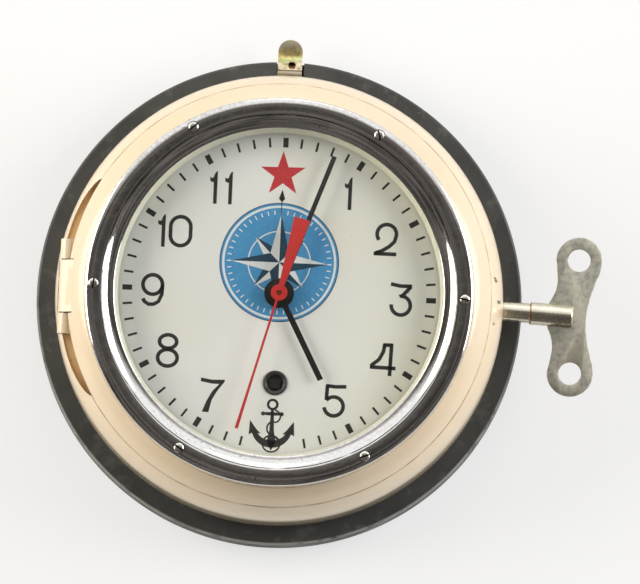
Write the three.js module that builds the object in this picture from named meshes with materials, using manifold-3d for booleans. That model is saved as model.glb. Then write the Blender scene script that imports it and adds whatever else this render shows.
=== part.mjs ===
// A ships clock: a sealed wall clock with a hinged cover and an eight-day movement.
// Millimetres. The origin is the middle of the wall face, the dial faces -Y and 12 o'clock is +Z.
// A depth is a distance from the wall towards the viewer, so a point at depth d has y = -d.
import * as THREE from 'three';
import { mergeVertices } from 'three/addons/utils/BufferGeometryUtils.js';
import Module from 'manifold-3d';

const wasm = await Module();
wasm.setup();

// Clearances
const fit = 0.3; // between a turned piece and the hole that it sits in
const seat = 0.1; // between two flat faces that bear on each other
const running = 0.5; // round a piece that swings past another

// The bezel's outer radius drives the round pieces: each is a named width inside or outside it.
const bezelRadius = 73.6;
const coverBand = 7; // bezel to seam
const seamInset = 4.6; // seam to the housing's wall
const flangeWidth = 7.3; // the flange past the housing's wall
const seamRadius = bezelRadius + coverBand;
const wallRadius = seamRadius + seamInset;
const flangeRadius = wallRadius + flangeWidth;

// Base plate
const flangeDepth = 18;
const flangeChamfer = 1;
const floorThickness = 8;
const spigotInset = 9.5; // from the housing's wall
const spigotOuter = wallRadius - spigotInset;
const spigotWidth = 3.7;
const spigotHeight = 3;

// Housing ring and the dome that runs on into the cover
const wallHeight = 18;
const wallThickness = 2.8;
const domeReach = 20;
const domeRise = 28.5;
const seamGap = 0.4;
const sealRingWidth = 7.7; // inwards from the seam
const sealRingInner = seamRadius - sealRingWidth;
const sealRingThickness = 3.4;
const sealEdge = 0.7; // of the seal ring inside the seal
const sealInner = sealRingInner + sealEdge;
const sealWidth = 2;
const sealThickness = 1;

// Hinge at 9 o'clock
const hingeSink = 2.4; // below the seam
const hingeOutset = 0.2; // outside the seam's circle
const knuckleRadius = 2.65;
const hingeHalfLength = 18;
const middleHalfLength = 10;
const hingePinRadius = 1.1;
const pocketWidth = 2.8;
const pocketReach = seamRadius + pocketWidth;
const pocketHalfSpan = 31; // degrees on each side of 9 o'clock
const pocketDrop = 7.3; // below the seam
const lugReach = 3.9; // from the hinge line into the cover
const lugSide = 1.9; // from the hinge line outwards, on the fixed knuckles

// Bezel, glass and the pale ring under it
const bezelHeight = 11.2;
const bezelSkirt = 1;
const bezelFaceWidth = 6.4;
const bezelFaceInner = bezelRadius - bezelFaceWidth;
const bezelWidth = 10.6;
const openingRadius = bezelRadius - bezelWidth;
const lipDrop = 2.6; // bezel face to glass
const glassMargin = 3.5; // of the glass past the opening
const glassRadius = openingRadius + glassMargin;
const glassThickness = 2;
const glassSealThickness = 0.7;
const ledgeWidth = 2.5;
const ledgeThickness = 1.4;
const coverWidth = 4.1; // of the cover inside the bezel's outer radius
const coverInner = bezelRadius - coverWidth;
const screwInset = 3.4;
const screwCircle = bezelRadius - screwInset;
const screwCount = 6;
const screwHeadRadius = 2.15;
const screwHeadProud = 0.35;
const screwHeadDepth = 0.9;
const screwShankRadius = 1.2;
const screwLength = 8;
const slotWidth = 0.7;
const slotAngles = [12, 75, 140, 98, 33, 160];
const ringFlange = 0.5;
const ringWall = 0.8;
const ringTaper = 2.1;
const ringFoot = openingRadius - ringTaper; // inner radius at its lower edge
const ringGap = 1.2; // above the dial

// Dial and hands
const handRoom = 7.5; // dial to glass
const dialRadius = openingRadius;
const dialThickness = 1;
const dialFootRadius = 2.2;
const dialFootLength = 12;
const handThickness = 0.6;
const hourLift = 1.6;
const minuteLift = 3.4;
const secondLift = 5.2;
const hourLength = 36.4;
const hourWidth = 2.2;
const hourHub = 5.65;
const hourAngle = 152;
const minuteLength = 55.8;
const minuteWidth = 1.8;
const minuteHub = 4.2;
const minuteAngle = 19.5;
const secondLength = 53.9;
const secondWidth = 0.9;
const secondHub = 3.15;
const tailLength = 29.3;
const tailWidth = 6.3;
const secondAngle = 194.9;

// Lock at 3 o'clock and its key
const lockRise = 13; // above the flange
const arborRadius = 2.6;
const squareSide = 3.6;
const squareLength = 5;
const bushRadius = 5.2;
const camThickness = 2;
const camHub = 4.5;
const hookInner = 8;
const hookOuter = 11;
const hookSpan = 62; // degrees
const camRest = 70; // degrees that the hook's free end stands away from the stud
const catchThickness = 1.3;
const catchWidth = 8;
const studRadius = 1.2;
const studOffset = 6.3;
const keyDroop = 2.4; // degrees of play in the square
const keyThinRadius = 3.7;
const keyThinLength = 10.4;
const keyThickRadius = 4.25;
const keyThickLength = 16.2;
const keySocketDepth = 6.5;
const keyPlay = 0.4; // round the square
const wingThickness = 1.6;
const wingSpacing = 43.3;
const wingEndRadius = 8.75;
const wingHoleRadius = 4.28;
const wingWaist = 4.5;
const wingShoulder = 10; // from the line of the holes to the edge in the slot
const wingShoulderHalf = 4.9;
const wingHoleLine = 0.8; // beyond the shaft's end
const wingSlot = 9.4;

// Hanger tab at 12 o'clock
const tabWidth = 9.3;
const tabThickness = 1.2;
const tabSetBack = 5.6;
const tabRise = 9.1; // past the flange
const tabTop = flangeRadius + tabRise;
const tabUpper = 12.7; // from the bend to the top
const tabBend = tabTop - tabUpper;
const tabHoleRadius = 1.35;
const tabHoleOffset = 0.8;
const tabHoleDrop = 10; // from the top
const tabHoleHeight = tabTop - tabHoleDrop;
const tabSideGap = 0.8;
const tabLength = 24.1;
const tabFoot = tabTop - tabLength;
const tabScrewMargin = 2.1;
const tabScrewSpacing = 4;
const tabScrewHeights = [tabFoot + tabScrewMargin, tabFoot + tabScrewMargin + tabScrewSpacing];
const tabScrewRadius = 0.8;
const tabScrewLength = 7;

// Movement
const plateThickness = 2;
const backPlateRadius = 57;
const postHeight = 2; // of the back plate above the flange
const backPlateDepth = flangeDepth + postHeight;
const frontPlateRadius = 54;
const plateSpacing = 24; // back of one plate to the back of the other
const frontPlateDepth = backPlateDepth + plateSpacing;
const pillarRadius = 3;
const pillarCircle = 45;
const pillarAngles = [20, 160, 215, 325];
const postAngles = [30, 150, 270];
const footAngles = [90, 210, 330];
const mountCircle = 53;
const postRadius = 4;
const movementScrewLength = 8;
const pivotRadius = 0.5;
const arborThickness = 0.9;
const wheelThickness = 1.2;
const leafMargin = 0.5; // of a pinion's leaves past the wheel that they drive
const windingDrop = 33.8; // winding arbor below the dial centre
const windingArbor = 2;
const windingHub = 3;
const windingPivot = 1.5;
const squareSink = 1.6; // the winding square's end below the dial's face
const cupRim = 4.68;
const cupBarrel = 4;
const cupBore = 3.1;
const cupDepth = 6;
const dialPillarRadius = 3.2;
const socketDepth = 4;
const balanceOpening = 8.8;

// Going train: teeth, and tooth size as a module
const addendum = 0.8;
const dedendum = 1.2;
const barrelTeeth = 60;
const barrelSize = 0.6;
const smallPinion = 10;
const middleTeeth = 54;
const middleSize = 0.6;
const centreTeeth = 64;
const centreSize = 0.5;
const thirdPinion = 8;
const thirdTeeth = 60;
const thirdDirection = 60; // degrees, from the centre
const fourthPinion = 8;
const fourthTeeth = 60;
const fourthSize = 0.55;
const escapePinion = 6;
const escapeTeeth = 15;
const escapeRadius = 6;
const escapeDirection = 130;
const leverDirection = 135;
const palletDistance = 9.2;
const leverLength = 13.5;
const pinCircle = 2;
const pinRadius = 0.4;
const balanceRadius = 8;
const balanceRim = 1.4;
const springOuter = 5;
const springAngle = 250; // under the cock, where its outer end is pinned
const cockReach = 13;
const cockDirection = 250;
const cockHalfWidth = 3.5;
const cockThickness = 2;
const regulatorLength = 9;
const fourthArbor = 0.6;
const centreTube = 1.9;
const cannonPipe = 2.7;
const hourPipe = 3.6;

// Motion work
const cannonLeaves = 12;
const minuteTeeth = 36;
const motionSize = 0.6;
const minuteLeaves = 10;
const hourTeeth = 40;

// Depths of the layers between the plates and in front of them, each from the one under it
const backPlateFace = backPlateDepth + plateThickness;
const frontPlateFace = frontPlateDepth + plateThickness;
const barrelLift = 2;
const barrelLength = 12;
const barrelFrom = backPlateFace + barrelLift;
const barrelTo = barrelFrom + barrelLength;
const barrelToothWidth = 2;
const drumRadius = 16;
const drumWall = 1;
const middleGap = 1;
const centreStep = 3;
const middleLayer = barrelTo + middleGap;
const centreLayer = middleLayer + centreStep;
const fourthLift = 6;
const escapeStep = 2.6;
const thirdStep = 2.9;
const balanceStep = 5.4;
const springStep = 4.4;
const fourthLayer = backPlateFace + fourthLift;
const escapeLayer = fourthLayer + escapeStep;
const thirdLayer = escapeLayer + thirdStep;
const balanceLayer = escapeLayer + balanceStep;
const springLayer = balanceLayer + springStep;
const motionLift = 2;
const hourStep = 3;
const minuteLayer = frontPlateFace + motionLift;
const hourLayer = minuteLayer + hourStep;

// Ratchet
const ratchetTeeth = 36;
const ratchetRadius = 9;
const ratchetToothHeight = 0.8;
const clickOffset = [11.5, 9.5]; // from the winding arbor
const clickHub = 1.8;

// Facets round a turned piece: the large shells, middling discs and small rods
const shellFacets = 40;
const discFacets = 24;
const rodFacets = 12;

const rad = THREE.MathUtils.degToRad;
const dome = (radius) => {
  const across = (radius - (wallRadius - domeReach)) / domeReach;
  return flangeDepth + wallHeight + domeRise * Math.sqrt(1 - across * across);
};
const seamDepth = dome(seamRadius);
const bezelSeat = dome(bezelRadius);
const bezelFront = bezelSeat + bezelHeight;
const glassFront = bezelFront - lipDrop;
const glassBack = glassFront - glassThickness;
const dialFront = glassBack - handRoom;
const dialBack = dialFront - dialThickness;
const neckOuter = bezelRadius - bezelSkirt - fit;
const neckInner = glassRadius + fit;
const ledgeTop = glassBack - glassSealThickness - ringFlange - 3 * seat;
const ledgeInner = neckInner - ledgeWidth;
const pocketFloor = seamDepth - pocketDrop;
const hingeX = -(seamRadius + hingeOutset);
const hingeDepth = seamDepth - hingeSink;
const lockDepth = flangeDepth + lockRise;

// Geometry with its corners merged, its collapsed faces dropped and its faces outwards.
function closed(geometry) {
  geometry.deleteAttribute('normal');
  geometry.deleteAttribute('uv');
  const merged = mergeVertices(geometry, 1e-4);
  const corners = merged.index.array;
  const place = merged.attributes.position;
  const faces = [];
  let volume = 0;
  const [p, q, r] = [new THREE.Vector3(), new THREE.Vector3(), new THREE.Vector3()];
  for (let i = 0; i < corners.length; i += 3) {
    const [a, b, c] = [corners[i], corners[i + 1], corners[i + 2]];
    if (a === b || b === c || c === a) continue;
    faces.push([a, b, c]);
    p.fromBufferAttribute(place, a);
    q.fromBufferAttribute(place, b);
    r.fromBufferAttribute(place, c);
    volume += p.dot(q.cross(r));
  }
  merged.setIndex(faces.flatMap(([a, b, c]) => (volume < 0 ? [a, c, b] : [a, b, c])));
  return merged;
}

function toSolid(geometry) {
  const vertProperties = Float32Array.from(geometry.attributes.position.array);
  const triVerts = Uint32Array.from(geometry.index.array);
  return new wasm.Manifold(new wasm.Mesh({ numProp: 3, vertProperties, triVerts }));
}

function fromSolid(solid) {
  const mesh = solid.getMesh();
  const geometry = new THREE.BufferGeometry();
  geometry.setAttribute('position', new THREE.BufferAttribute(mesh.vertProperties, 3));
  geometry.setIndex(new THREE.BufferAttribute(mesh.triVerts, 1));
  return geometry;
}

const join = (...pieces) => fromSolid(pieces.map(toSolid).reduce((sum, next) => sum.add(next)));
const cut = (piece, ...tools) =>
  fromSolid(tools.map(toSolid).reduce((rest, tool) => rest.subtract(tool), toSolid(piece)));
const common = (piece, other) => fromSolid(toSolid(piece).intersect(toSolid(other)));

// A profile of [radius, depth] points, turned about the line x = z = 0.
function turned(profile, segments = 40) {
  const points = profile.map(([radius, depth]) => new THREE.Vector2(radius, depth));
  if (profile[0][0] > 0) points.push(points[0].clone());
  const geometry = new THREE.LatheGeometry(points, segments);
  geometry.rotateX(Math.PI);
  return closed(geometry);
}

const rod = (radius, from, to, segments = 16) =>
  turned([[0, from], [radius, from], [radius, to], [0, to]], segments);
const tube = (inner, outer, from, to, segments = 16) =>
  turned([[inner, from], [outer, from], [outer, to], [inner, to]], segments);

const polygon = (corners) => new THREE.Shape(corners.map(([x, z]) => new THREE.Vector2(x, z)));

// A flat outline in x and z, extruded from one depth to another.
function plate(shape, from, to, curveSegments = 12) {
  const options = { depth: to - from, bevelEnabled: false, curveSegments };
  const geometry = new THREE.ExtrudeGeometry(shape, options);
  geometry.translate(0, 0, from);
  geometry.rotateX(Math.PI / 2);
  return closed(geometry);
}

function block(x0, x1, d0, d1, z0, z1) {
  const geometry = new THREE.BoxGeometry(x1 - x0, d1 - d0, z1 - z0);
  geometry.translate((x0 + x1) / 2, -(d0 + d1) / 2, (z0 + z1) / 2);
  return closed(geometry);
}

const moved = (geometry, x, z) => geometry.translate(x, 0, z);
// Turn a piece made along the depth so that its depths run along +X, at the lock's depth.
const alongLock = (geometry) => geometry.rotateZ(Math.PI / 2).translate(0, -lockDepth, 0);
// Turn a piece made along the depth so that its depths run along +Z, on the hinge line.
const alongHinge = (geometry) => geometry.rotateX(-Math.PI / 2).translate(hingeX, -hingeDepth, 0);
// A place on a circle about the dial's centre, the angle counted anticlockwise from 3 o'clock.
const around = (radius, degrees) => [radius * Math.cos(rad(degrees)), radius * Math.sin(rad(degrees))];

const screwPlaces = slotAngles.map((_, i) => around(screwCircle, (360 * i) / screwCount));

const cream = new THREE.MeshStandardMaterial({ color: 0xf3dfc1, roughness: 0.28 });
const blackPlastic = new THREE.MeshStandardMaterial({ color: 0x4b4b49, roughness: 0.5 });
const chrome = new THREE.MeshStandardMaterial({ color: 0xd9dadb, roughness: 0.08, metalness: 1 });
const steel = new THREE.MeshStandardMaterial({ color: 0x9a9a92, roughness: 0.4, metalness: 1 });
const passivated = new THREE.MeshStandardMaterial({ color: 0xa99c76, roughness: 0.45, metalness: 1 });
const nickel = new THREE.MeshStandardMaterial({ color: 0xb9ae93, roughness: 0.25, metalness: 1 });
const brass = new THREE.MeshStandardMaterial({ color: 0xc9a44c, roughness: 0.3, metalness: 1 });
const rubber = new THREE.MeshStandardMaterial({ color: 0x26262a, roughness: 0.85 });
const dialWhite = new THREE.MeshStandardMaterial({ color: 0xecece1, roughness: 0.6 });
const blackPaint = new THREE.MeshStandardMaterial({ color: 0x161616, roughness: 0.5 });
const redPaint = new THREE.MeshStandardMaterial({ color: 0xc8352c, roughness: 0.5 });
const clearGlass = new THREE.MeshStandardMaterial({
  color: 0xf4f8f6, roughness: 0.02, transparent: true, opacity: 0.2 });

const clock = new THREE.Group();

function add(name, geometry, material, parent = clock) {
  const mesh = new THREE.Mesh(geometry, material);
  mesh.name = name;
  parent.add(mesh);
  return mesh;
}

// Base plate: a black moulding with a flange, a raised spigot and three posts for the movement.
function basePlate() {
  const inner = spigotOuter - spigotWidth;
  const body = turned([
    [0, 0],
    [flangeRadius - flangeChamfer, 0],
    [flangeRadius, flangeChamfer],
    [flangeRadius, flangeDepth - flangeChamfer],
    [flangeRadius - flangeChamfer, flangeDepth],
    [spigotOuter, flangeDepth],
    [spigotOuter, flangeDepth + spigotHeight],
    [inner, flangeDepth + spigotHeight],
    [inner, floorThickness],
    [0, floorThickness],
  ], shellFacets);
  const posts = postAngles.map((angle) => {
    const post = rod(postRadius, floorThickness - 1, backPlateDepth - seat, 12);
    return moved(post, ...around(mountCircle, angle));
  });
  const drills = postAngles.map((angle) => {
    const drill = rod(screwShankRadius + fit, backPlateDepth - movementScrewLength, backPlateDepth, 8);
    return moved(drill, ...around(mountCircle, angle));
  });
  const notch = block(
    -tabWidth / 2 - fit, tabWidth / 2 + tabSideGap,
    flangeDepth - tabSetBack - 2 * tabThickness - fit, flangeDepth + 1,
    tabFoot - fit, flangeRadius + 1);
  const tabDrills = tabScrewHeights.map((height) => {
    return moved(rod(tabScrewRadius + fit, flangeDepth - tabScrewLength - fit, flangeDepth, 8), 0, height);
  });
  return cut(join(body, ...posts), notch, ...drills, ...tabDrills);
}

// Housing: the fixed cream ring, from the flange up to the seam, with its seal ring inside.
function housingShell() {
  const inner = wallRadius - wallThickness;
  const foot = flangeDepth + seat;
  const top = flangeDepth + wallHeight;
  const rim = Array.from({ length: 5 }, (_, i) => {
    const radius = wallRadius - (wallRadius - seamRadius) * ((i + 1) / 5) ** 1.4;
    return [radius, dome(radius)];
  });
  const shell = turned([
    [wallRadius, foot],
    [wallRadius, top],
    ...rim,
    [sealRingInner, seamDepth],
    [sealRingInner, seamDepth - sealRingThickness],
    [seamRadius - 1, seamDepth - pocketDrop - wallThickness],
    [inner, top],
    [inner, foot + wallThickness],
    [spigotOuter + fit, foot + wallThickness],
    [spigotOuter + fit, foot],
  ], shellFacets);
  const knuckles = [-1, 1].flatMap((side) => {
    const ends = [side * (middleHalfLength + fit), side * hingeHalfLength];
    const [from, to] = [Math.min(...ends), Math.max(...ends)];
    const knuckle = alongHinge(rod(knuckleRadius, from, to, 16));
    const lug = block(hingeX - lugSide, hingeX + knuckleRadius, pocketFloor - 1, hingeDepth, from, to);
    return [knuckle, lug];
  });
  const half = middleHalfLength + fit;
  const swing = alongHinge(rod(knuckleRadius + running, -half, half, 16));
  const swingOver = block(hingeX, hingeX + lugReach + fit, hingeDepth, seamDepth + 5, -half, half);
  const pinHole = alongHinge(rod(hingePinRadius + fit, -hingeHalfLength - 2, hingeHalfLength + 2, 12));
  const lockHole = alongLock(rod(keyThinRadius + running, seamRadius - wallThickness, wallRadius + 1, 24));
  return cut(join(cut(shell, hingePocket()), ...knuckles), swing, swingOver, pinHole, lockHole);
}

// The crescent cut beside the hinge, which lets the cover's edge swing down.
function hingePocket() {
  const shift = (pocketReach - seamRadius) / (1 - Math.cos(rad(pocketHalfSpan)));
  const sweep = rod(pocketReach - shift, pocketFloor, seamDepth + 5, 2 * shellFacets);
  sweep.translate(-shift, 0, 0);
  return cut(sweep, rod(seamRadius - seamGap, pocketFloor - 1, seamDepth + 6, shellFacets));
}

// Cover: the hinged cream ring that carries the glass and the bezel.
function coverShell() {
  const seatDepth = seamDepth + seamGap;
  const edge = seamRadius - 0.25;
  const rim = Array.from({ length: 4 }, (_, i) => {
    const radius = edge - ((edge - bezelRadius - 0.3) * i) / 3;
    return [radius, Math.max(seatDepth, dome(radius))];
  });
  const ring = turned([
    ...rim,
    [bezelRadius + 0.3, bezelSeat],
    [neckOuter, bezelSeat],
    [neckOuter, glassFront - seat],
    [neckInner, glassFront - seat],
    [neckInner, ledgeTop],
    [ledgeInner, ledgeTop],
    [ledgeInner, ledgeTop - ledgeThickness],
    [coverInner, ledgeTop - ledgeThickness],
    [coverInner, seatDepth],
    [sealInner - fit, seatDepth],
    [sealInner - fit, seatDepth + sealThickness - seamGap + fit],
    [sealInner + sealWidth + fit, seatDepth + sealThickness - seamGap + fit],
    [sealInner + sealWidth + fit, seatDepth],
  ], shellFacets);
  const half = middleHalfLength - seat;
  const knuckle = alongHinge(rod(knuckleRadius, -half, half, 16));
  const lug = block(hingeX + 0.8, hingeX + lugReach, hingeDepth + fit, seamDepth + 1, -half, half);
  const clear = [-1, 1].map((side) => {
    const ends = [side * half, side * (hingeHalfLength + fit)];
    return alongHinge(rod(knuckleRadius + running, Math.min(...ends), Math.max(...ends), 16));
  });
  const pinHole = alongHinge(rod(hingePinRadius + fit, -hingeHalfLength - 2, hingeHalfLength + 2, 12));
  const drills = screwPlaces.map(([x, z]) => {
    const drill = rod(screwShankRadius + fit, bezelFront - screwLength - 1, bezelFront, 8);
    return moved(drill, x, z);
  });
  return cut(join(cut(ring, ...clear), knuckle, lug), pinHole, ...drills);
}

// Bezel: a chromed ring with a skirt, a flat face with screw holes and a slope down to the glass.
function bezelRing() {
  const face = bezelFront;
  const under = glassFront + seat;
  const ring = turned([
    [bezelRadius, bezelSeat + seat],
    [bezelRadius - 0.2, face - 2.2],
    [bezelRadius - 0.6, face - 0.8],
    [bezelRadius - 1.6, face],
    [bezelFaceInner, face],
    [openingRadius + 1.2, face - 1.4],
    [openingRadius, under + 0.4],
    [openingRadius, under],
    [bezelRadius - bezelSkirt, under],
    [bezelRadius - bezelSkirt, bezelSeat + seat],
  ], shellFacets);
  const drills = screwPlaces.flatMap(([x, z]) => {
    const head = rod(screwHeadRadius + fit, face - screwHeadDepth - seat, face + 1, rodFacets);
    const shank = rod(screwShankRadius + fit, under - 1, face, 8);
    return [moved(head, x, z), moved(shank, x, z)];
  });
  return cut(ring, ...drills);
}

// A slotted screw: a domed head on a plain shank, its underside at the given depth.
function slottedScrew(headRadius, headHeight, shankRadius, length, under, slotAngle) {
  const top = under + headHeight;
  const body = turned([
    [0, under - length],
    [shankRadius, under - length],
    [shankRadius, under],
    [headRadius, under],
    [headRadius, top],
    [0, top],
  ], rodFacets);
  const half = slotWidth / 2;
  const slot = block(-headRadius - 1, headRadius + 1, top - headHeight / 2, top + 1, -half, half);
  return cut(body, slot.rotateY(rad(slotAngle)));
}

function glassRing() {
  const flangeBack = ledgeTop + seat;
  const slope = dialFront + ringGap;
  return turned([
    [ringFoot, slope],
    [ringFoot + ringWall, slope],
    [openingRadius + ringWall, flangeBack],
    [glassRadius, flangeBack],
    [glassRadius, flangeBack + ringFlange],
    [openingRadius, flangeBack + ringFlange],
  ], shellFacets);
}

function catchPlate() {
  const inner = coverInner - fit;
  const outer = inner + catchThickness;
  const top = seamDepth + seamGap - seat;
  const half = catchWidth / 2;
  const hang = block(inner, outer, lockDepth + camHub, top, -half, half);
  const foot = block(inner, sealRingInner - 2 * fit, top - catchThickness, top, -half, half);
  const stud = alongLock(rod(studRadius, inner - camThickness - 2 * fit - 0.4, inner + 0.5, 12));
  return join(hang, foot, stud.translate(0, -studOffset, 0));
}

// Lock cam: a hub with a hooked sector that swings over the catch's stud.
function lockCam() {
  const back = coverInner - 2 * fit - camThickness;
  const shape = new THREE.Shape();
  // Outline angles run from the hook's free end (0) round to its web.
  shape.moveTo(...around(hookInner, 0));
  shape.lineTo(...around(hookOuter, 0));
  shape.absarc(0, 0, hookOuter, 0, rad(hookSpan), false);
  shape.lineTo(...around(camHub, hookSpan + 12));
  shape.absarc(0, 0, camHub, rad(hookSpan + 12), rad(360 + hookSpan - 28), false);
  shape.lineTo(...around(hookInner, hookSpan - 16));
  shape.absarc(0, 0, hookInner, rad(hookSpan - 16), 0, true);
  const geometry = plate(shape, back, back + camThickness, 6);
  geometry.rotateY(rad(180 - camRest));
  const cam = cut(geometry, rod(arborRadius + fit, back - 1, back + camThickness + 1, 16));
  return alongLock(cam);
}

function lockArbor() {
  const head = coverInner - 2 * fit - camThickness - seat;
  const squareFrom = wallRadius - wallThickness - squareLength + 1.5;
  const shaft = turned([
    [0, head - 1.2],
    [arborRadius + 0.8, head - 1.2],
    [arborRadius + 0.8, head],
    [arborRadius, head],
    [arborRadius, squareFrom],
    [0, squareFrom],
  ], 16);
  const half = squareSide / 2;
  const square = block(-half, half, squareFrom - 0.5, squareFrom + squareLength, -half, half);
  return alongLock(join(shaft, square));
}

function lockBush() {
  const outer = wallRadius - wallThickness - fit - 0.1;
  const socketFrom = wallRadius - wallThickness - squareLength + 1.5;
  const inner = sealRingInner + 1;
  const bush = turned([
    [arborRadius + fit, inner],
    [bushRadius, inner],
    [bushRadius, outer],
    [keyThinRadius + running, outer],
    [keyThinRadius + running, socketFrom],
    [arborRadius + fit, socketFrom],
  ], 20);
  return alongLock(bush);
}

// Key: made with its shaft along +X from the lock's axis, then drooped about the square.
// The wing's shoulder stands in the shaft's slot.
function keyShaft() {
  const start = wallRadius - wallThickness - squareLength + 2.3;
  const step = wallRadius + keyThinLength;
  const end = step + keyThickLength;
  const shaft = turned([
    [0, start],
    [keyThinRadius, start],
    [keyThinRadius, step],
    [keyThickRadius, step],
    [keyThickRadius, end - 0.4],
    [keyThickRadius - 0.4, end],
    [0, end],
  ], 24);
  const half = squareSide / 2 + keyPlay;
  const socket = block(-half, half, start - 1, start + keySocketDepth, -half, half);
  const slotHalf = wingThickness / 2 + seat;
  const slot = block(-slotHalf, slotHalf, end - wingSlot, end + 1, -keyThickRadius - 1, keyThickRadius + 1);
  return droop(alongLock(cut(shaft, socket, slot)));
}

function keyWing() {
  const shape = new THREE.Shape();
  const high = wingSpacing / 2;
  const neck = wingEndRadius - 1.1;
  shape.moveTo(-wingShoulder, -wingShoulderHalf);
  shape.lineTo(-wingShoulder, wingShoulderHalf);
  shape.quadraticCurveTo(-neck + 0.6, high * 0.45, -neck, high * 0.66);
  shape.quadraticCurveTo(-neck - 0.3, high * 0.8, -wingEndRadius, high);
  shape.absarc(0, high, wingEndRadius, Math.PI, 0, true);
  shape.quadraticCurveTo(wingEndRadius, high - 3, wingEndRadius - 1.2, high - 6);
  shape.quadraticCurveTo(wingWaist, high * 0.3, wingWaist, 0);
  shape.quadraticCurveTo(wingWaist, -high * 0.3, wingEndRadius - 1.2, 6 - high);
  shape.quadraticCurveTo(wingEndRadius, 3 - high, wingEndRadius, -high);
  shape.absarc(0, -high, wingEndRadius, 0, -Math.PI, true);
  shape.quadraticCurveTo(-neck - 0.3, -high * 0.8, -neck, -high * 0.66);
  shape.quadraticCurveTo(-neck + 0.6, -high * 0.45, -wingShoulder, -wingShoulderHalf);
  for (const side of [-1, 1]) {
    const hole = new THREE.Path();
    hole.absarc(0, side * high, wingHoleRadius, 0, 2 * Math.PI, false);
    shape.holes.push(hole);
  }
  const half = wingThickness / 2;
  const geometry = plate(shape, lockDepth - half, lockDepth + half, 6);
  const holeLine = wallRadius + keyThinLength + keyThickLength + wingHoleLine;
  return droop(geometry.translate(holeLine, 0, 0));
}

function droop(geometry) {
  const pivot = wallRadius - wallThickness - squareLength / 2 + 1.5;
  return geometry.translate(-pivot, 0, 0).rotateY(rad(keyDroop)).translate(pivot, 0, 0);
}

// Hanger tab: a strip bent back behind the flange, with a round end and a fixing hole.
function hangerTab() {
  const face = flangeDepth - seat;
  const back = face - tabSetBack;
  const side = new THREE.Shape();
  const skew = tabThickness * 0.41;
  side.moveTo(tabFoot, face - tabThickness);
  side.lineTo(tabBend - skew, face - tabThickness);
  side.lineTo(tabBend + tabSetBack - skew, back - tabThickness);
  side.lineTo(tabTop + 1, back - tabThickness);
  side.lineTo(tabTop + 1, back);
  side.lineTo(tabBend + tabSetBack, back);
  side.lineTo(tabBend, face);
  side.lineTo(tabFoot, face);
  const options = { depth: tabWidth, bevelEnabled: false };
  const strip = new THREE.ExtrudeGeometry(side, options);
  // The outline's x is height and its y is depth; the strip's width runs along x.
  const frame = new THREE.Matrix4().makeBasis(
    new THREE.Vector3(0, 0, 1), new THREE.Vector3(0, -1, 0), new THREE.Vector3(1, 0, 0));
  strip.applyMatrix4(frame);
  strip.translate(-tabWidth / 2, 0, 0);
  const front = new THREE.Shape();
  const half = tabWidth / 2;
  front.moveTo(-half, tabFoot - 1);
  front.lineTo(half, tabFoot - 1);
  front.absarc(0, tabTop - half, half, 0, Math.PI, false);
  const outline = plate(front, 0, flangeDepth + 1, 10);
  const hole = moved(rod(tabHoleRadius, 0, flangeDepth + 1, 16), tabHoleOffset, tabHoleHeight);
  const drills = tabScrewHeights.map((height) => {
    return moved(rod(tabScrewRadius + fit, 0, flangeDepth + 1, 8), 0, height);
  });
  return cut(common(closed(strip), outline), hole, ...drills);
}

// Dial: a disc with the hands' hole, the winding hole and three feet riveted behind.
function dialPlate() {
  const disc = tube(hourPipe + running, dialRadius, dialBack, dialFront, shellFacets);
  const feet = footAngles.map((angle) => {
    const foot = rod(dialFootRadius, dialBack - dialFootLength, dialBack + dialThickness / 2, 10);
    return moved(foot, ...around(mountCircle, angle));
  });
  const windingHole = moved(rod(cupBarrel + fit, dialBack - 1, dialFront + 1, 16), 0, -windingDrop);
  return cut(join(disc, ...feet), windingHole);
}

function windingCup() {
  const cup = turned([
    [cupBore, dialFront - cupDepth],
    [cupBarrel, dialFront - cupDepth],
    [cupBarrel, dialFront + seat],
    [cupRim, dialFront + seat],
    [cupRim, dialFront + seat + 0.4],
    [cupRim - 0.5, dialFront + seat + 0.7],
    [cupBore, dialFront + seat + 0.3],
  ], 16);
  return moved(cup, 0, -windingDrop);
}

// A hand's outline points up; the hand is then turned clockwise to its angle.
function hand(outline, hub, bore, lift, clockwise) {
  const from = dialFront + lift;
  const disc = rod(hub, from, from + handThickness, 24);
  const pointer = plate(polygon(outline), from, from + handThickness);
  const drill = rod(bore, from - 1, from + 2, 12);
  return cut(join(disc, pointer), drill).rotateY(rad(clockwise));
}

const blade = (width, length) =>
  [[-width / 2, 0], [width / 2, 0], [width / 2, length], [-width / 2, length]];

function secondHand() {
  const root = secondWidth / 2;
  const tip = secondWidth * 0.7;
  const outline = [
    [-tailWidth / 2, -tailLength],
    [tailWidth / 2, -tailLength],
    [root * 2, 0],
    [root, secondHub],
    [root, secondLength * 0.6],
    [tip, secondLength],
    [-tip, secondLength],
    [-root, secondLength * 0.6],
    [-root, secondHub],
    [-root * 2, 0],
  ];
  return hand(outline, secondHub, fourthArbor + fit, secondLift, secondAngle);
}

// A toothed outline with straight flanks; the first tooth is at the phase, in degrees.
// A flank is a list of [share of the tooth's step, height in modules] across one tooth.
function toothed(teeth, size, phase, flank) {
  const radius = (teeth * size) / 2;
  const step = 360 / teeth;
  const corners = [];
  for (let i = 0; i < teeth; i += 1) {
    for (const [share, height] of flank) {
      corners.push(around(radius + height * size, phase + step * (i + share)));
    }
  }
  return polygon(corners);
}

const wheelFlank = [[-0.5, -dedendum], [0, addendum]];
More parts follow.
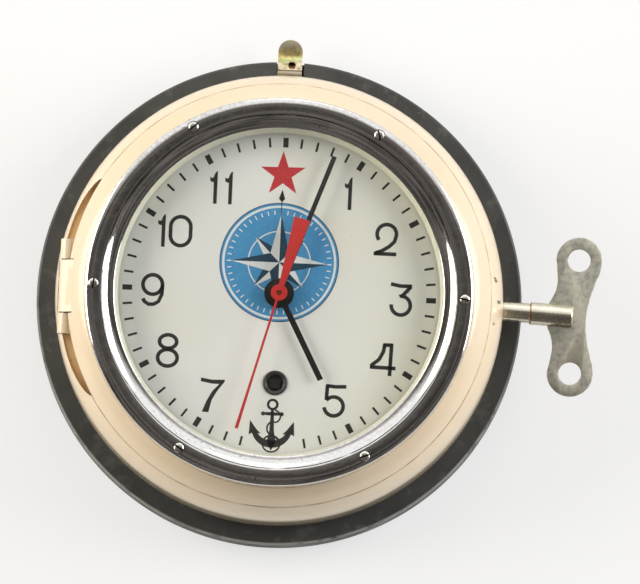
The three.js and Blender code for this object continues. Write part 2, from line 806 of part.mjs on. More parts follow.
// A wheel's three windows, as shares of its radius.
const windowCircle = 0.55;
const windowSize = 0.24;
const leafFlank = [[-0.2, -dedendum], [-0.09, addendum], [0.09, addendum], [0.2, -dedendum]];
const wheel = (teeth, size, phase, from) => {
  const shape = toothed(teeth, size, phase, wheelFlank);
  const radius = (teeth * size) / 2;
  for (let i = 0; i < 3; i += 1) {
    const window = new THREE.Path();
    window.absarc(...around(radius * windowCircle, i * 120), radius * windowSize, 0, 2 * Math.PI, true);
    shape.holes.push(window);
  }
  return plate(shape, from, from + wheelThickness, 3);
};
// A pinion at a wheel's depth, standing out from it by the given margin on both sides.
const pinion = (teeth, size, phase, layer, margin, thickness = wheelThickness) =>
  plate(toothed(teeth, size, phase, leafFlank), layer - margin, layer + thickness + margin);

// The phase of a wheel that meshes with another, whose centre lies at the given direction from it.
function meshed(phase, teeth, direction, otherTeeth) {
  const share = ((((direction - phase) * teeth) / 360) % 1 + 1) % 1;
  return direction + 180 - (360 / otherTeeth) * (0.5 - share);
}

const directionOf = ([x, z], [fromX, fromZ] = [0, 0]) =>
  THREE.MathUtils.radToDeg(Math.atan2(z - fromZ, x - fromX));

const plateArbor = () => turned([
  [0, backPlateDepth + seat],
  [pivotRadius, backPlateDepth + seat],
  [pivotRadius, backPlateFace + seat],
  [arborThickness, backPlateFace + seat],
  [arborThickness, frontPlateDepth - seat],
  [pivotRadius, frontPlateDepth - seat],
  [pivotRadius, frontPlateFace - seat],
  [0, frontPlateFace - seat],
], 8);

// A flat spiral ribbon of the given number of turns.
function spiral(inner, outer, turns, thickness, from, to, startAngle, stepsPerTurn) {
  const count = Math.round(turns * stepsPerTurn);
  const side = (offset) => Array.from({ length: count + 1 }, (_, i) => {
    const radius = inner + ((outer - inner) * i) / count + offset;
    return around(radius, startAngle + (360 * i) / stepsPerTurn);
  });
  return plate(polygon([...side(thickness / 2), ...side(-thickness / 2).reverse()]), from, to);
}

// Places of the arbors, as seen from the front.
const winding = [0, -windingDrop];
const greatDistance = ((barrelTeeth + smallPinion) * barrelSize) / 2;
const middleDistance = ((middleTeeth + smallPinion) * middleSize) / 2;
const middleDrop = (windingDrop ** 2 + middleDistance ** 2 - greatDistance ** 2) / (2 * windingDrop);
const middlePlace = [Math.sqrt(middleDistance ** 2 - middleDrop ** 2), -middleDrop];
const thirdPlace = around(((centreTeeth + thirdPinion) * centreSize) / 2, thirdDirection);
const thirdSize = (2 * Math.hypot(...thirdPlace)) / (thirdTeeth + fourthPinion);
const escapePlace = around(((fourthTeeth + escapePinion) * fourthSize) / 2, escapeDirection);
const beyondEscape = (distance) => {
  const [x, z] = around(distance, leverDirection);
  return [escapePlace[0] + x, escapePlace[1] + z];
};
const palletPlace = beyondEscape(palletDistance);
const balancePlace = beyondEscape(palletDistance + leverLength);
const motionPlace = [((cannonLeaves + minuteTeeth) * motionSize) / 2, 0];
const hourSize = (2 * motionPlace[0]) / (minuteLeaves + hourTeeth);
const ratchetClick = [winding[0] + clickOffset[0], winding[1] + clickOffset[1]];

// Phases, each wheel meshed with the one before it.
const barrelPhase = 0;
const toMiddle = directionOf(middlePlace, winding);
const middlePinionPhase = meshed(barrelPhase, barrelTeeth, toMiddle, smallPinion);
const middlePhase = 0;
const centrePinionPhase = meshed(middlePhase, middleTeeth, directionOf([0, 0], middlePlace), smallPinion);
const centrePhase = 0;
const thirdPinionPhase = meshed(centrePhase, centreTeeth, thirdDirection, thirdPinion);
const thirdPhase = 0;
const fourthPinionPhase = meshed(thirdPhase, thirdTeeth, thirdDirection + 180, fourthPinion);
const fourthPhase = 0;
const escapePinionPhase = meshed(fourthPhase, fourthTeeth, escapeDirection, escapePinion);
const cannonPhase = 0;
const minutePhase = meshed(cannonPhase, cannonLeaves, 0, minuteTeeth);
const minuteLeafPhase = 0;
const hourPhase = meshed(minuteLeafPhase, minuteLeaves, 180, hourTeeth);

function movementPlate(radius, from, centreHole, extra) {
  const to = from + plateThickness;
  const disc = tube(centreHole, radius, from, to, discFacets);
  const pivots = [middlePlace, thirdPlace, escapePlace, palletPlace].map((place) => {
    return moved(rod(pivotRadius + fit, from - 1, to + 1, 8), ...place);
  });
  return cut(disc, ...pivots, ...extra);
}

function backPlate() {
  const through = (radius, place) => moved(rod(radius, backPlateDepth - 1, backPlateFace + 1, 8), ...place);
  return movementPlate(backPlateRadius, backPlateDepth, fourthArbor + fit, [
    through(windingPivot + fit, winding),
    through(pivotRadius + fit, balancePlace),
    ...postAngles.map((angle) => through(screwShankRadius + fit, around(mountCircle, angle))),
  ]);
}

function frontPlate() {
  const through = (radius, place, segments = 10) =>
    moved(rod(radius, frontPlateDepth - 1, frontPlateFace + 1, segments), ...place);
  return movementPlate(frontPlateRadius, frontPlateDepth, centreTube + fit, [
    through(windingArbor + fit, winding),
    through(pivotRadius + fit, motionPlace, 8),
    through(pivotRadius + fit, ratchetClick, 8),
    through(balanceOpening, balancePlace, 24),
    ...footAngles.map((angle) => through(dialPillarRadius + running, around(mountCircle, angle), 16)),
  ]);
}

function dialPillar(angle) {
  const socket = dialBack - dialFootLength;
  const pillar = turned([
    [0, backPlateFace + seat],
    [dialPillarRadius, backPlateFace + seat],
    [dialPillarRadius, socket + socketDepth],
    [dialFootRadius + fit, socket + socketDepth],
    [dialFootRadius + fit, socket - fit],
    [0, socket - fit],
  ], 12);
  return moved(pillar, ...around(mountCircle, angle));
}

function barrelDrum() {
  const base = plate(toothed(barrelTeeth, barrelSize, barrelPhase, wheelFlank),
    barrelFrom, barrelFrom + barrelToothWidth);
  const drum = rod(drumRadius, barrelFrom, barrelTo, discFacets);
  const bore = windingHub + fit;
  const hollow = turned([
    [0, barrelFrom - 1],
    [bore, barrelFrom - 1],
    [bore, barrelFrom + drumWall],
    [drumRadius - drumWall, barrelFrom + drumWall],
    [drumRadius - drumWall, barrelTo - drumWall],
    [bore, barrelTo - drumWall],
    [bore, barrelTo + 1],
    [0, barrelTo + 1],
  ], discFacets);
  return moved(cut(join(base, drum), hollow), ...winding);
}

function mainspring() {
  const coil = spiral(windingHub + 0.9, drumRadius - drumWall - 0.6, 4, 0.6,
    barrelFrom + drumWall + fit, barrelTo - drumWall - fit, 0, 12);
  return moved(coil, ...winding);
}

function windingShaft() {
  const squareFrom = dialFront - cupDepth - 1;
  const shaft = turned([
    [0, backPlateDepth + seat],
    [windingPivot, backPlateDepth + seat],
    [windingPivot, backPlateFace + seat],
    [windingHub, backPlateFace + seat],
    [windingHub, frontPlateDepth - seat],
    [windingArbor, frontPlateDepth - seat],
    [windingArbor, squareFrom],
    [0, squareFrom],
  ], 12);
  const half = squareSide / 2;
  const square = block(-half, half, squareFrom - 0.5, dialFront - squareSink, -half, half);
  return moved(join(shaft, square), ...winding);
}

function ratchetWheel() {
  const step = 360 / ratchetTeeth;
  const corners = Array.from({ length: ratchetTeeth }, (_, i) => [
    around(ratchetRadius - ratchetToothHeight, (i - 0.97) * step),
    around(ratchetRadius, i * step),
  ]).flat();
  const from = frontPlateFace + running;
  const disc = plate(polygon(corners), from, from + wheelThickness);
  return moved(cut(disc, rod(windingArbor + fit, from - 1, from + 3, 12)), ...winding);
}

// Click: a pawl whose nose lies in a gap of the ratchet wheel's teeth.
function clickPawl() {
  const from = frontPlateFace + running;
  const [x, z] = clickOffset;
  const tooth = ratchetRadius - ratchetToothHeight / 2;
  const corners = [
    [tooth, 0.3], [tooth + 1.2, 0.3], [x + clickHub, z - 1],
    [x - clickHub * 0.8, z - 0.6], [tooth + 0.7, 1.8],
  ];
  const arm = plate(polygon(corners), from, from + wheelThickness);
  const hub = moved(rod(clickHub, from, from + wheelThickness, 14), x, z);
  const stud = moved(rod(pivotRadius, frontPlateDepth + seat, from + 0.5, 8), x, z);
  return moved(join(arm, hub, stud), ...winding);
}

function clickSpring() {
  const from = frontPlateFace + seat;
  const [x, z] = clickOffset;
  const clear = x + clickHub + 0.6;
  const corners = [
    [clear, z - 2.6], [clear + 0.6, z - 2.6], [clear + 2.4, z + 3.4], [clear + 4.4, z + 5.4],
    [clear + 2.4, z + 7.4], [clear + 0.6, z + 5.4], [clear + 1.2, z + 3.4],
  ];
  return moved(plate(polygon(corners), from, from + wheelThickness), ...winding);
}

function middleWheel() {
  const leaves = pinion(smallPinion, barrelSize, middlePinionPhase, barrelFrom, 0.7, barrelToothWidth);
  const disc = wheel(middleTeeth, middleSize, middlePhase, middleLayer);
  return moved(join(plateArbor(), leaves, disc), ...middlePlace);
}

function centreWheel() {
  const from = middleLayer - leafMargin;
  const disc = wheel(centreTeeth, centreSize, centrePhase, centreLayer);
  const leaves = pinion(smallPinion, middleSize, centrePinionPhase, middleLayer, leafMargin);
  const pipe = rod(centreTube, from, dialFront + minuteLift + handThickness, 12);
  return cut(join(pipe, leaves, disc), rod(fourthArbor + fit, from - 1, dialFront + secondLift, 10));
}

function cannonPinion() {
  const from = frontPlateFace + running;
  const pipe = rod(cannonPipe, from, dialFront + minuteLift - seat, 16);
  const leaves = pinion(cannonLeaves, motionSize, cannonPhase, minuteLayer, leafMargin);
  return cut(join(pipe, leaves), rod(centreTube + fit, from - 1, dialFront + secondLift, 12));
}

function minuteWheel() {
  const axle = turned([
    [0, frontPlateDepth + seat],
    [pivotRadius, frontPlateDepth + seat],
    [pivotRadius, frontPlateFace + seat],
    [arborThickness, frontPlateFace + seat],
    [arborThickness, hourLayer + wheelThickness + 1.5],
    [0, hourLayer + wheelThickness + 1.5],
  ], 8);
  const disc = wheel(minuteTeeth, motionSize, minutePhase, minuteLayer);
  const leaves = pinion(minuteLeaves, hourSize, minuteLeafPhase, hourLayer, leafMargin);
  return moved(join(axle, disc, leaves), ...motionPlace);
}

function hourWheel() {
  const disc = wheel(hourTeeth, hourSize, hourPhase, hourLayer);
  const pipe = rod(hourPipe, hourLayer, dialFront + hourLift + handThickness, 16);
  return cut(join(disc, pipe), rod(cannonPipe + fit, hourLayer - 1, dialFront + secondLift, 16));
}

function thirdWheel() {
  const leaves = pinion(thirdPinion, centreSize, thirdPinionPhase, centreLayer, leafMargin);
  const disc = wheel(thirdTeeth, thirdSize, thirdPhase, thirdLayer);
  return moved(join(plateArbor(), leaves, disc), ...thirdPlace);
}

function fourthWheel() {
  const axle = rod(fourthArbor, backPlateDepth + seat, dialFront + secondLift + handThickness - seat, 10);
  const leaves = pinion(fourthPinion, thirdSize, fourthPinionPhase, thirdLayer, leafMargin);
  return join(axle, leaves, wheel(fourthTeeth, fourthSize, fourthPhase, fourthLayer));
}

function escapeWheel() {
  const step = 360 / escapeTeeth;
  const root = escapeRadius * 0.75;
  const tooth = [[-0.3, root], [0.1, escapeRadius], [0.2, escapeRadius], [0.3, root]];
  const corners = Array.from({ length: escapeTeeth }, (_, i) =>
    tooth.map(([share, radius]) => around(radius, (i + share) * step))).flat();
  const disc = plate(polygon(corners), escapeLayer, escapeLayer + 1);
  const leaves = pinion(escapePinion, fourthSize, escapePinionPhase, fourthLayer, leafMargin);
  return moved(join(plateArbor(), leaves, disc), ...escapePlace);
}

// Pallet fork: two pallets beside the escape wheel and a lever that ends in a fork by the balance.
function palletFork() {
  const end = pinCircle + pinRadius + fit;
  const horn = leverLength - end;
  const share = escapeRadius / 6;
  const half = [[1.2, 0.9], [2.6, 4.9], [4.3, 5.1], [4.3, 4.3], [3.2, 3.6], [1.7, 0]]
    .map(([u, v]) => [u * share, v * share]);
  const anchor = [...half, ...half.slice(0, -1).reverse().map(([u, v]) => [u, -v])];
  const lever = [[1.3, -0.6], [1.3, 0.6], [-horn + 1.4, 0.6], [-horn + 0.9, 1.2], [-horn, 1.2],
    [-horn, 0.6], [-horn + 0.9, 0.35], [-horn + 0.9, -0.35], [-horn, -0.6], [-horn, -1.2],
    [-horn + 0.9, -1.2], [-horn + 1.4, -0.6]];
  const flat = (corners) => plate(polygon(corners), escapeLayer, escapeLayer + 1);
  const fork = join(flat(anchor), flat(lever), rod(1.4, escapeLayer, escapeLayer + 1, 12));
  fork.rotateY(rad(-leverDirection - 180));
  return moved(join(fork, plateArbor()), ...palletPlace);
}

function balanceWheel() {
  const front = balanceLayer + wheelThickness;
  const inner = balanceRadius - balanceRim;
  const rim = tube(inner, balanceRadius, balanceLayer, front, discFacets);
  const bar = block(-inner - 0.6, inner + 0.6, balanceLayer + 0.1, front - 0.1, -0.8, 0.8);
  const staff = turned([
    [0, backPlateDepth + seat],
    [pivotRadius, backPlateDepth + seat],
    [pivotRadius, backPlateFace + seat],
    [arborThickness, backPlateFace + seat],
    [arborThickness, frontPlateFace],
    [pivotRadius, frontPlateFace],
    [pivotRadius, frontPlateFace + seat + cockThickness / 2],
    [0, frontPlateFace + seat + cockThickness / 2],
  ], 8);
  const roller = rod(pinCircle + pinRadius + 0.2, escapeLayer + 1.6, escapeLayer + 2.4, 16);
  const pinPlace = around(pinCircle, leverDirection + 180);
  const pin = moved(rod(pinRadius, escapeLayer, escapeLayer + 2, 8), ...pinPlace);
  return moved(join(rim, bar, staff, roller, pin), ...balancePlace);
}

function hairspring() {
  const to = springLayer + 0.6;
  const coil = spiral(arborThickness + 0.5, springOuter, 3, 0.25, springLayer, to, springAngle, 12);
  return moved(coil, ...balancePlace);
}

// Balance cock: a bridge from a foot on the front plate to the balance staff's front pivot.
function balanceCock() {
  const from = frontPlateFace + seat;
  const to = from + cockThickness;
  const [footX, footZ] = around(cockReach, cockDirection);
  const arm = block(0, cockReach, from, to, -cockHalfWidth, cockHalfWidth).rotateY(rad(-cockDirection));
  const ends = [rod(cockHalfWidth, from, to, 16), moved(rod(cockHalfWidth, from, to, 16), footX, footZ)];
  const stud = moved(rod(0.5, springLayer, from + 1, 8), ...around(springOuter + 0.85, springAngle));
  const cock = cut(join(arm, ...ends, stud), rod(pivotRadius + fit, from - 1, to + 1, 8));
  return moved(cock, ...balancePlace);
}

function regulatorLever() {
  const from = frontPlateFace + seat + cockThickness + seat;
  const ring = rod(2, from, from + 0.8, 16);
  const tail = block(0, regulatorLength, from, from + 0.8, -0.6, 0.6).rotateY(rad(-cockDirection - 180));
  return moved(cut(join(ring, tail), rod(pivotRadius + fit, from - 1, from + 2, 8)), ...balancePlace);
}

// The case, from the wall outwards
add('base_plate', basePlate(), blackPlastic);
add('housing_shell', housingShell(), cream);
add('hinge_pin', alongHinge(rod(hingePinRadius, -hingeHalfLength - 0.2, hingeHalfLength + 0.2, 12)), steel);
add('lock_bush', lockBush(), brass);
add('lock_arbor', lockArbor(), steel);
add('lock_cam', lockCam(), steel);
add('hanger_tab', hangerTab(), passivated);
tabScrewHeights.forEach((z, i) => {
  const length = tabScrewLength - seat;
  const screw = rod(tabScrewRadius, flangeDepth - seat - length, flangeDepth - seat, 8);
  add(`hanger_screw_${i + 1}`, moved(screw, 0, z), steel);
});

// The cover and what it carries
add('cover_shell', coverShell(), cream);
const coverSeal = seamDepth + seat;
add('cover_gasket', tube(sealInner, sealInner + sealWidth, coverSeal, coverSeal + sealThickness, shellFacets),
  rubber);
add('reflector_ring', glassRing(), cream);
const ringTop = ledgeTop + ringFlange + 2 * seat;
add('glass_gasket', tube(openingRadius + 1, glassRadius, ringTop, ringTop + glassSealThickness, shellFacets),
  rubber);
add('glass', rod(glassRadius, glassBack, glassFront, shellFacets), clearGlass);
add('bezel', bezelRing(), chrome);
screwPlaces.forEach(([x, z], i) => {
  const height = screwHeadDepth + screwHeadProud;
  const under = bezelFront - screwHeadDepth;
  const screw = slottedScrew(screwHeadRadius, height, screwShankRadius, screwLength, under, slotAngles[i]);
  add(`bezel_screw_${i + 1}`, moved(screw, x, z), steel);
});
add('cover_catch', catchPlate(), steel);

// Dial and hands
add('dial', dialPlate(), dialWhite);
footAngles.forEach((angle, i) => add(`dial_pillar_${i + 1}`, dialPillar(angle), brass));
add('winding_cup', windingCup(), blackPaint);
const hourBlade = blade(hourWidth, hourLength);
add('hour_hand', hand(hourBlade, hourHub, hourPipe + fit, hourLift, hourAngle), blackPaint);
const minuteBlade = blade(minuteWidth, minuteLength);
add('minute_hand', hand(minuteBlade, minuteHub, centreTube + fit, minuteLift, minuteAngle), blackPaint);
add('second_hand', secondHand(), redPaint);

// Movement
add('back_plate', backPlate(), brass);
add('front_plate', frontPlate(), brass);
pillarAngles.forEach((angle, i) => {
  const pillar = rod(pillarRadius, backPlateFace + seat, frontPlateDepth - seat, 12);
  add(`pillar_${i + 1}`, moved(pillar, ...around(pillarCircle, angle)), brass);
});
postAngles.forEach((angle, i) => {
  const under = backPlateFace + seat;
  const screw = slottedScrew(screwHeadRadius, 1.8, screwShankRadius, movementScrewLength, under, 30);
  add(`movement_screw_${i + 1}`, moved(screw, ...around(mountCircle, angle)), steel);
});
add('barrel_drum', barrelDrum(), brass);
add('mainspring', mainspring(), steel);
add('winding_arbor', windingShaft(), steel);
add('ratchet_wheel', ratchetWheel(), steel);
add('click', clickPawl(), steel);
add('click_spring', clickSpring(), steel);
add('intermediate_wheel', middleWheel(), brass);
add('centre_wheel', centreWheel(), brass);
add('cannon_pinion', cannonPinion(), steel);
add('minute_wheel', minuteWheel(), brass);
add('hour_wheel', hourWheel(), brass);
add('third_wheel', thirdWheel(), brass);
add('fourth_wheel', fourthWheel(), brass);
add('escape_wheel', escapeWheel(), steel);
add('pallet_fork', palletFork(), steel);
add('balance_wheel', balanceWheel(), brass);
add('hairspring', hairspring(), steel);
add('balance_cock', balanceCock(), brass);
add('regulator_lever', regulatorLever(), steel);

// Key
add('key_shaft', keyShaft(), nickel);
add('key_wing', keyWing(), steel);

export default clock;
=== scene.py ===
# Ships clock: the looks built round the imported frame. Sizes are in millimetres until a mesh is
# made, a depth is the distance from the wall towards the viewer, and the dial faces -Y.
from math import asin, cos, pi, radians, sin, sqrt, tau

import bmesh
import bpy
from mathutils import Matrix, Vector


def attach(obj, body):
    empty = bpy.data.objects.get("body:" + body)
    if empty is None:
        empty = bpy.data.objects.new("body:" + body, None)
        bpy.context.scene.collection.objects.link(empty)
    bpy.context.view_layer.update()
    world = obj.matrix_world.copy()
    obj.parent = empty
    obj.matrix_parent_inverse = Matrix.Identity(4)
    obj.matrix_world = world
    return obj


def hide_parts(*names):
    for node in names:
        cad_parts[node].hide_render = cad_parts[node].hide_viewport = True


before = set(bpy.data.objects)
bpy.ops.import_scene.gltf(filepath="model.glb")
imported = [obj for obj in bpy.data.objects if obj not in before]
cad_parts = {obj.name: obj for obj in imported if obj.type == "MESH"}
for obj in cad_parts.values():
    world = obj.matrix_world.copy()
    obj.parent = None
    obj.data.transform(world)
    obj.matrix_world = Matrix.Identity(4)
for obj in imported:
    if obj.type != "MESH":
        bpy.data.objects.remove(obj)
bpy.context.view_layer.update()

MM = 0.001
MIX = "ShaderNodeMix"

# Depths and radii that the CAD gives
FLANGE_RADIUS = 92.5
FLANGE_DEPTH = 18.0
WALL_RADIUS = 85.2
DOME_START = 36.0
DOME_REACH = 20.0
DOME_RISE = 28.5
SEAM_RADIUS = 80.6
BEZEL_RADIUS = 73.6
BEZEL_HEIGHT = 11.2
LIP_DROP = 2.6
GLASS_THICKNESS = 2.0
HAND_ROOM = 7.5
SEAT = 0.1
LOCK_DEPTH = 31.0
HINGE_X = -80.8
WINDING_DROP = 33.8
WINDING_HOLE = 4.3


def dome(radius):
    """The depth of the cream dome at a radius: a quarter of an ellipse."""
    across = (radius - (WALL_RADIUS - DOME_REACH)) / DOME_REACH
    return DOME_START + DOME_RISE * sqrt(1 - across * across)


SEAM_DEPTH = dome(SEAM_RADIUS)
POCKET_FLOOR = SEAM_DEPTH - 7.3
HINGE_DEPTH = SEAM_DEPTH - 2.4
BEZEL_SEAT = dome(BEZEL_RADIUS)
BEZEL_FRONT = BEZEL_SEAT + BEZEL_HEIGHT
GLASS_FRONT = BEZEL_FRONT - LIP_DROP
GLASS_BACK = GLASS_FRONT - GLASS_THICKNESS
DIAL_FRONT = GLASS_BACK - HAND_ROOM


def rgba(code):
    """An sRGB hex colour as linear values."""
    parts = [int(code[i:i + 2], 16) / 255 for i in (1, 3, 5)]
    return tuple(p / 12.92 if p <= 0.04045 else ((p + 0.055) / 1.055) ** 2.4 for p in parts) + (1.0,)


def node(tree, kind, links=(), **settings):
    """Adds a node, sets it, and gives each named or numbered input a value or another output."""
    made = tree.nodes.new(kind)
    for name, value in settings.items():
        setattr(made, name, value)
    for key, value in dict(links).items():
        if isinstance(value, bpy.types.NodeSocket):
            tree.links.new(value, made.inputs[key])
        else:
            made.inputs[key].default_value = value
    return made


def result(tree, kind, links=(), **settings):
    """Adds a node, and gives its first output."""
    return node(tree, kind, links, **settings).outputs[0]


def maths(operation, *values):
    """One sum on values, of which at least one is another node's output."""
    tree = next(v.id_data for v in values if isinstance(v, bpy.types.NodeSocket))
    return result(tree, "ShaderNodeMath", dict(enumerate(values)), operation=operation)


def ramp(value, low=0.0, high=1.0, start=0.0, end=1.0):
    """Carries a value from between low and high to between start and end, and holds it there."""
    return result(value.id_data, "ShaderNodeMapRange", {0: value, 1: low, 2: high, 3: start, 4: end})


def fade(value, low, high):
    """0 at low and 1 at high, where the value is in metres and both ends are in mm."""
    return ramp(value, low * MM, high * MM)


def axes(vector):
    """The X, Y and Z of a vector."""
    return node(vector.id_data, "ShaderNodeSeparateXYZ", {0: vector}).outputs


def feed(shader, name, value):
    """Lets an output set one of a shader's inputs."""
    shader.id_data.links.new(value, shader.inputs[name])


# ---- materials


def surface(name, colour, roughness, metallic=0.0, **sockets):
    """A material with its shader, and the object's own coordinates."""
    made = bpy.data.materials.new(name)
    made.use_nodes = True
    tree = made.node_tree
    tree.nodes.clear()
    values = {"Base Color": rgba(colour), "Roughness": roughness, "Metallic": metallic, **sockets}
    shader = node(tree, "ShaderNodeBsdfPrincipled", values)
    node(tree, "ShaderNodeOutputMaterial", {"Surface": shader.outputs[0]})
    place = node(tree, "ShaderNodeTexCoord").outputs["Object"]
    return made, shader, place


def patches(place, size, low, high, detail=2.0):
    """A mask of soft patches: 0 below the low value of a noise of that size in mm, 1 above the high."""
    scale = 1 / (size * MM)
    noise = node(place.id_data, "ShaderNodeTexNoise", {"Vector": place, "Scale": scale, "Detail": detail})
    return ramp(noise.outputs[0], low, high)


def grain(shader, height, distance):
    """Lets a height pattern bump the surface by a distance in mm."""
    values = {"Height": height, "Distance": distance * MM, "Strength": 1.0}
    feed(shader, "Normal", result(shader.id_data, "ShaderNodeBump", values))


def polar(place):
    """Radius, angle and depth of a point about the dial's axis, in metres and radians."""
    x, y, z = axes(place)
    radius = maths("SQRT", maths("MULTIPLY_ADD", z, z, maths("MULTIPLY", x, x)))
    return radius, maths("ARCTAN2", x, z), maths("MULTIPLY", y, -1.0)


def tinted(shader, *layers):
    """Lays colours over the base colour, each through its mask, the last on top."""
    colour = tuple(shader.inputs["Base Color"].default_value)
    for mask, code in layers:
        mix = node(shader.id_data, MIX, {0: mask, 6: colour, 7: rgba(code)}, data_type="RGBA")
        colour = mix.outputs[2]
    feed(shader, "Base Color", colour)


def product(*masks):
    """Masks multiplied together."""
    made = masks[0]
    for mask in masks[1:]:
        made = maths("MULTIPLY", made, mask)
    return made


def band(value, centre, half, soft):
    """1 where a value in metres lies within half of centre, both in mm, fading over soft."""
    away = maths("ABSOLUTE", maths("SUBTRACT", value, centre * MM))
    return fade(away, half + soft, half)


def near(place, x, z, reach, ragged):
    """1 within reach mm of a place seen from the front, with an edge made ragged by a noise."""
    tree, kind, spot = place.id_data, "ShaderNodeVectorMath", (x * MM, 0.0, z * MM)
    flat = result(tree, kind, {0: place, 1: (1.0, 0.0, 1.0)}, operation="MULTIPLY")
    away = node(tree, kind, {0: flat, 1: spot}, operation="DISTANCE").outputs[1]
    rough = maths("MULTIPLY_ADD", patches(place, 1.0, 0.3, 0.7, 3), ragged * MM, away)
    return fade(rough, reach + 0.15, reach)


def enamel_cream():
    # Stoved enamel on sheet steel: a thick glossy coat with a faint orange peel, rubbed a little
    # yellower in places, with grime in the seam, painted shade in the hinge's gaps and pockets and
    # under the wall where it faces down, and chips beside the keyhole that the wing of the key has knocked.
    made, shader, place = surface(
        "enamel_cream_stoved", "#F4E0C3", 0.22, **{"Coat Weight": 0.5, "Coat Roughness": 0.12})
    radius, _, depth = polar(place)
    x, _, z = axes(place)
    level = maths("ABSOLUTE", z)
    left = fade(x, -70, -72)
    off_hinge = maths("SUBTRACT", 1.0, product(fade(level, 18.4, 18), left))
    seam = product(
        band(depth, SEAM_DEPTH + 0.2, 0.2, 0.35), band(radius, SEAM_RADIUS, 0.3, 0.4),
        patches(place, 9, 0.32, 0.6, 4), off_hinge)
    # Painted shade: dark lines in the gap beside the hinge's leaf and in the slits between its knuckles
    gap_shade = product(band(x, -83.75, 0.14, 0.16), patches(place, 4, 0.25, 0.45, 3), fade(level, 10.4, 10.1))
    slit_shade = product(band(level, 10.1, 0.2, 0.1), fade(x, -78, -78.5), fade(depth, 46.6, 47))
    # Painted shade on the floor of the pockets beside the hinge
    pocket_shade = product(band(depth, POCKET_FLOOR, 0.4, 0.5), left, fade(radius, 83.5, 83.2))
    # Painted shade on the lower wall, where it faces down
    shade_under = product(fade(depth, 43, 39), fade(z, -35, -70))
    tinted(
        shader,
        (patches(place, 34, 0.4, 0.75), "#F1DBBC"),
        (shade_under, "#BBAA90"),
        (pocket_shade, "#D0B080"),
        (patches(place, 1.1, 0.745, 0.77, 3), "#8A7458"),
        (seam, "#C0AC8C"),
        (gap_shade, "#5E4E3A"),
        (slit_shade, "#5E4E3A"),
        (near(place, 83.3, 1.7, 0.95, 0.7), "#4A443C"),
        (near(place, 82.0, 9.4, 0.85, 0.7), "#3C3832"),
        (near(place, 81.5, 10.4, 0.75, 0.7), "#3C3832"),
        (near(place, 81.6, -6.9, 0.7, 0.8), "#6A5C4A"))
    feed(shader, "Roughness", ramp(patches(place, 30, 0.0, 1.0), start=0.2, end=0.26))
    grain(shader, patches(place, 2.2, 0.0, 1.0, 1), 0.03)
    return made


def moulding_black():
    # Phenolic moulding, pressed and polished by its mould, then dulled by dust: nearly black, with
    # pale specks, and grey along the lower front edge: partly wear, partly a painted highlight.
    made, shader, place = surface("phenolic_moulded_black", "#3C3D3C", 0.45)
    radius, _, depth = polar(place)
    # Grey along the front edge, on the lower part only: wear with a painted highlight
    edge = product(
        band(radius, FLANGE_RADIUS - 0.4, 0.3, 0.4), band(depth, FLANGE_DEPTH - 0.4, 0.3, 0.4),
        patches(place, 6, 0.3, 0.5, 4), fade(axes(place)[2], 20, -60))
    tinted(
        shader,
        (patches(place, 22, 0.4, 0.7), "#424342"),
        (patches(place, 5, 0.56, 0.8, 6), "#5C5D5A"),
        (patches(place, 0.9, 0.74, 0.77, 2), "#9A9A94"),
        (edge, "#9C9C96"))
    feed(shader, "Roughness", ramp(patches(place, 12, 0.35, 0.65, 3), start=0.34, end=0.55))
    grain(shader, patches(place, 0.8, 0.3, 0.8, 3), 0.015)
    return made


def chrome_plate():
    # Chromium over nickel on a turned brass ring: a cool mirror with fine turning lines round the
    # axis, a slow ripple from the polishing wheel, small pits, a mottled film of dust, thicker on
    # the upper half, that turns the dark room's image grey, and painted shade where the face bends in.
    made, shader, place = surface("chromium_plated_turned", "#E2E2E1", 0.07, 1.0)
    radius, angle, depth = polar(place)
    stretched = {0: radius, 1: maths("MULTIPLY", angle, 0.02), 2: depth}
    lines = patches(result(place.id_data, "ShaderNodeCombineXYZ", stretched), 0.45, 0.3, 0.7, 2)
    pits = product(patches(place, 1.3, 0.62, 0.72, 3), patches(place, 15, 0.45, 0.6))
    upper = ramp(axes(place)[2], -70 * MM, 50 * MM, 0.2)
    dust = product(patches(place, 1.3, 0.35, 0.75, 5), patches(place, 22, 0.25, 0.6), upper)
    # Painted shade: a dark line where the face turns down into the hollow
    groove = product(band(radius, 67.0, 0.12, 0.15), patches(place, 12, 0.3, 0.5, 3))
    tinted(shader, (lines, "#CFCECC"), (dust, "#C2C1BE"), (pits, "#8E8C88"), (groove, "#3B3936"))
    film = maths("MULTIPLY_ADD", dust, 0.75, lines)
    feed(shader, "Roughness", ramp(film, 0.0, 1.75, 0.05, 0.15))
    feed(shader, "Metallic", ramp(dust, start=1.0, end=0.93))
    ripple = maths("MULTIPLY_ADD", patches(place, 7, 0.2, 0.8, 1), 14.0, lines)
    grain(shader, ripple, 0.0025)
    return made


def blotched(name, colour, other, roughness, size, scratch=0.35, depth=0.002, *layers):
    """A bare or plated metal with soft blotches of another tone and fine lines round the Z axis."""
    made, shader, place = surface(name, colour, roughness, 1.0)
    tinted(
        shader,
        (patches(place, size, 0.42, 0.7, 4), other),
        (patches(place, 0.8, 0.7, 0.76, 2), "#6F6A5E"),
        *((mask(place), code) for mask, code in layers))
    drawn = result(place.id_data, "ShaderNodeMapping", {0: place, 3: (1.0, 1.0, 0.06)})
    lines = patches(drawn, scratch, 0.35, 0.65, 2)
    feed(shader, "Roughness", ramp(lines, 0.0, 1.0, roughness - 0.03, roughness + 0.05))
    grain(shader, lines, depth)
    return made


def step_line(place):
    """A brown line at the step in the key's shaft."""
    return band(axes(place)[0], 95.75, 0.16, 0.2)


def slot_shade(place):
    """Painted shade below the domed face of the screw heads: in their slots and round their sides."""
    return fade(axes(place)[1], 0.1 - BEZEL_FRONT, 0.2 - BEZEL_FRONT)


def warm_tarnish(place):
    """Wide soft patches for a faint warm tarnish."""
    return patches(place, 12, 0.52, 0.72, 3)


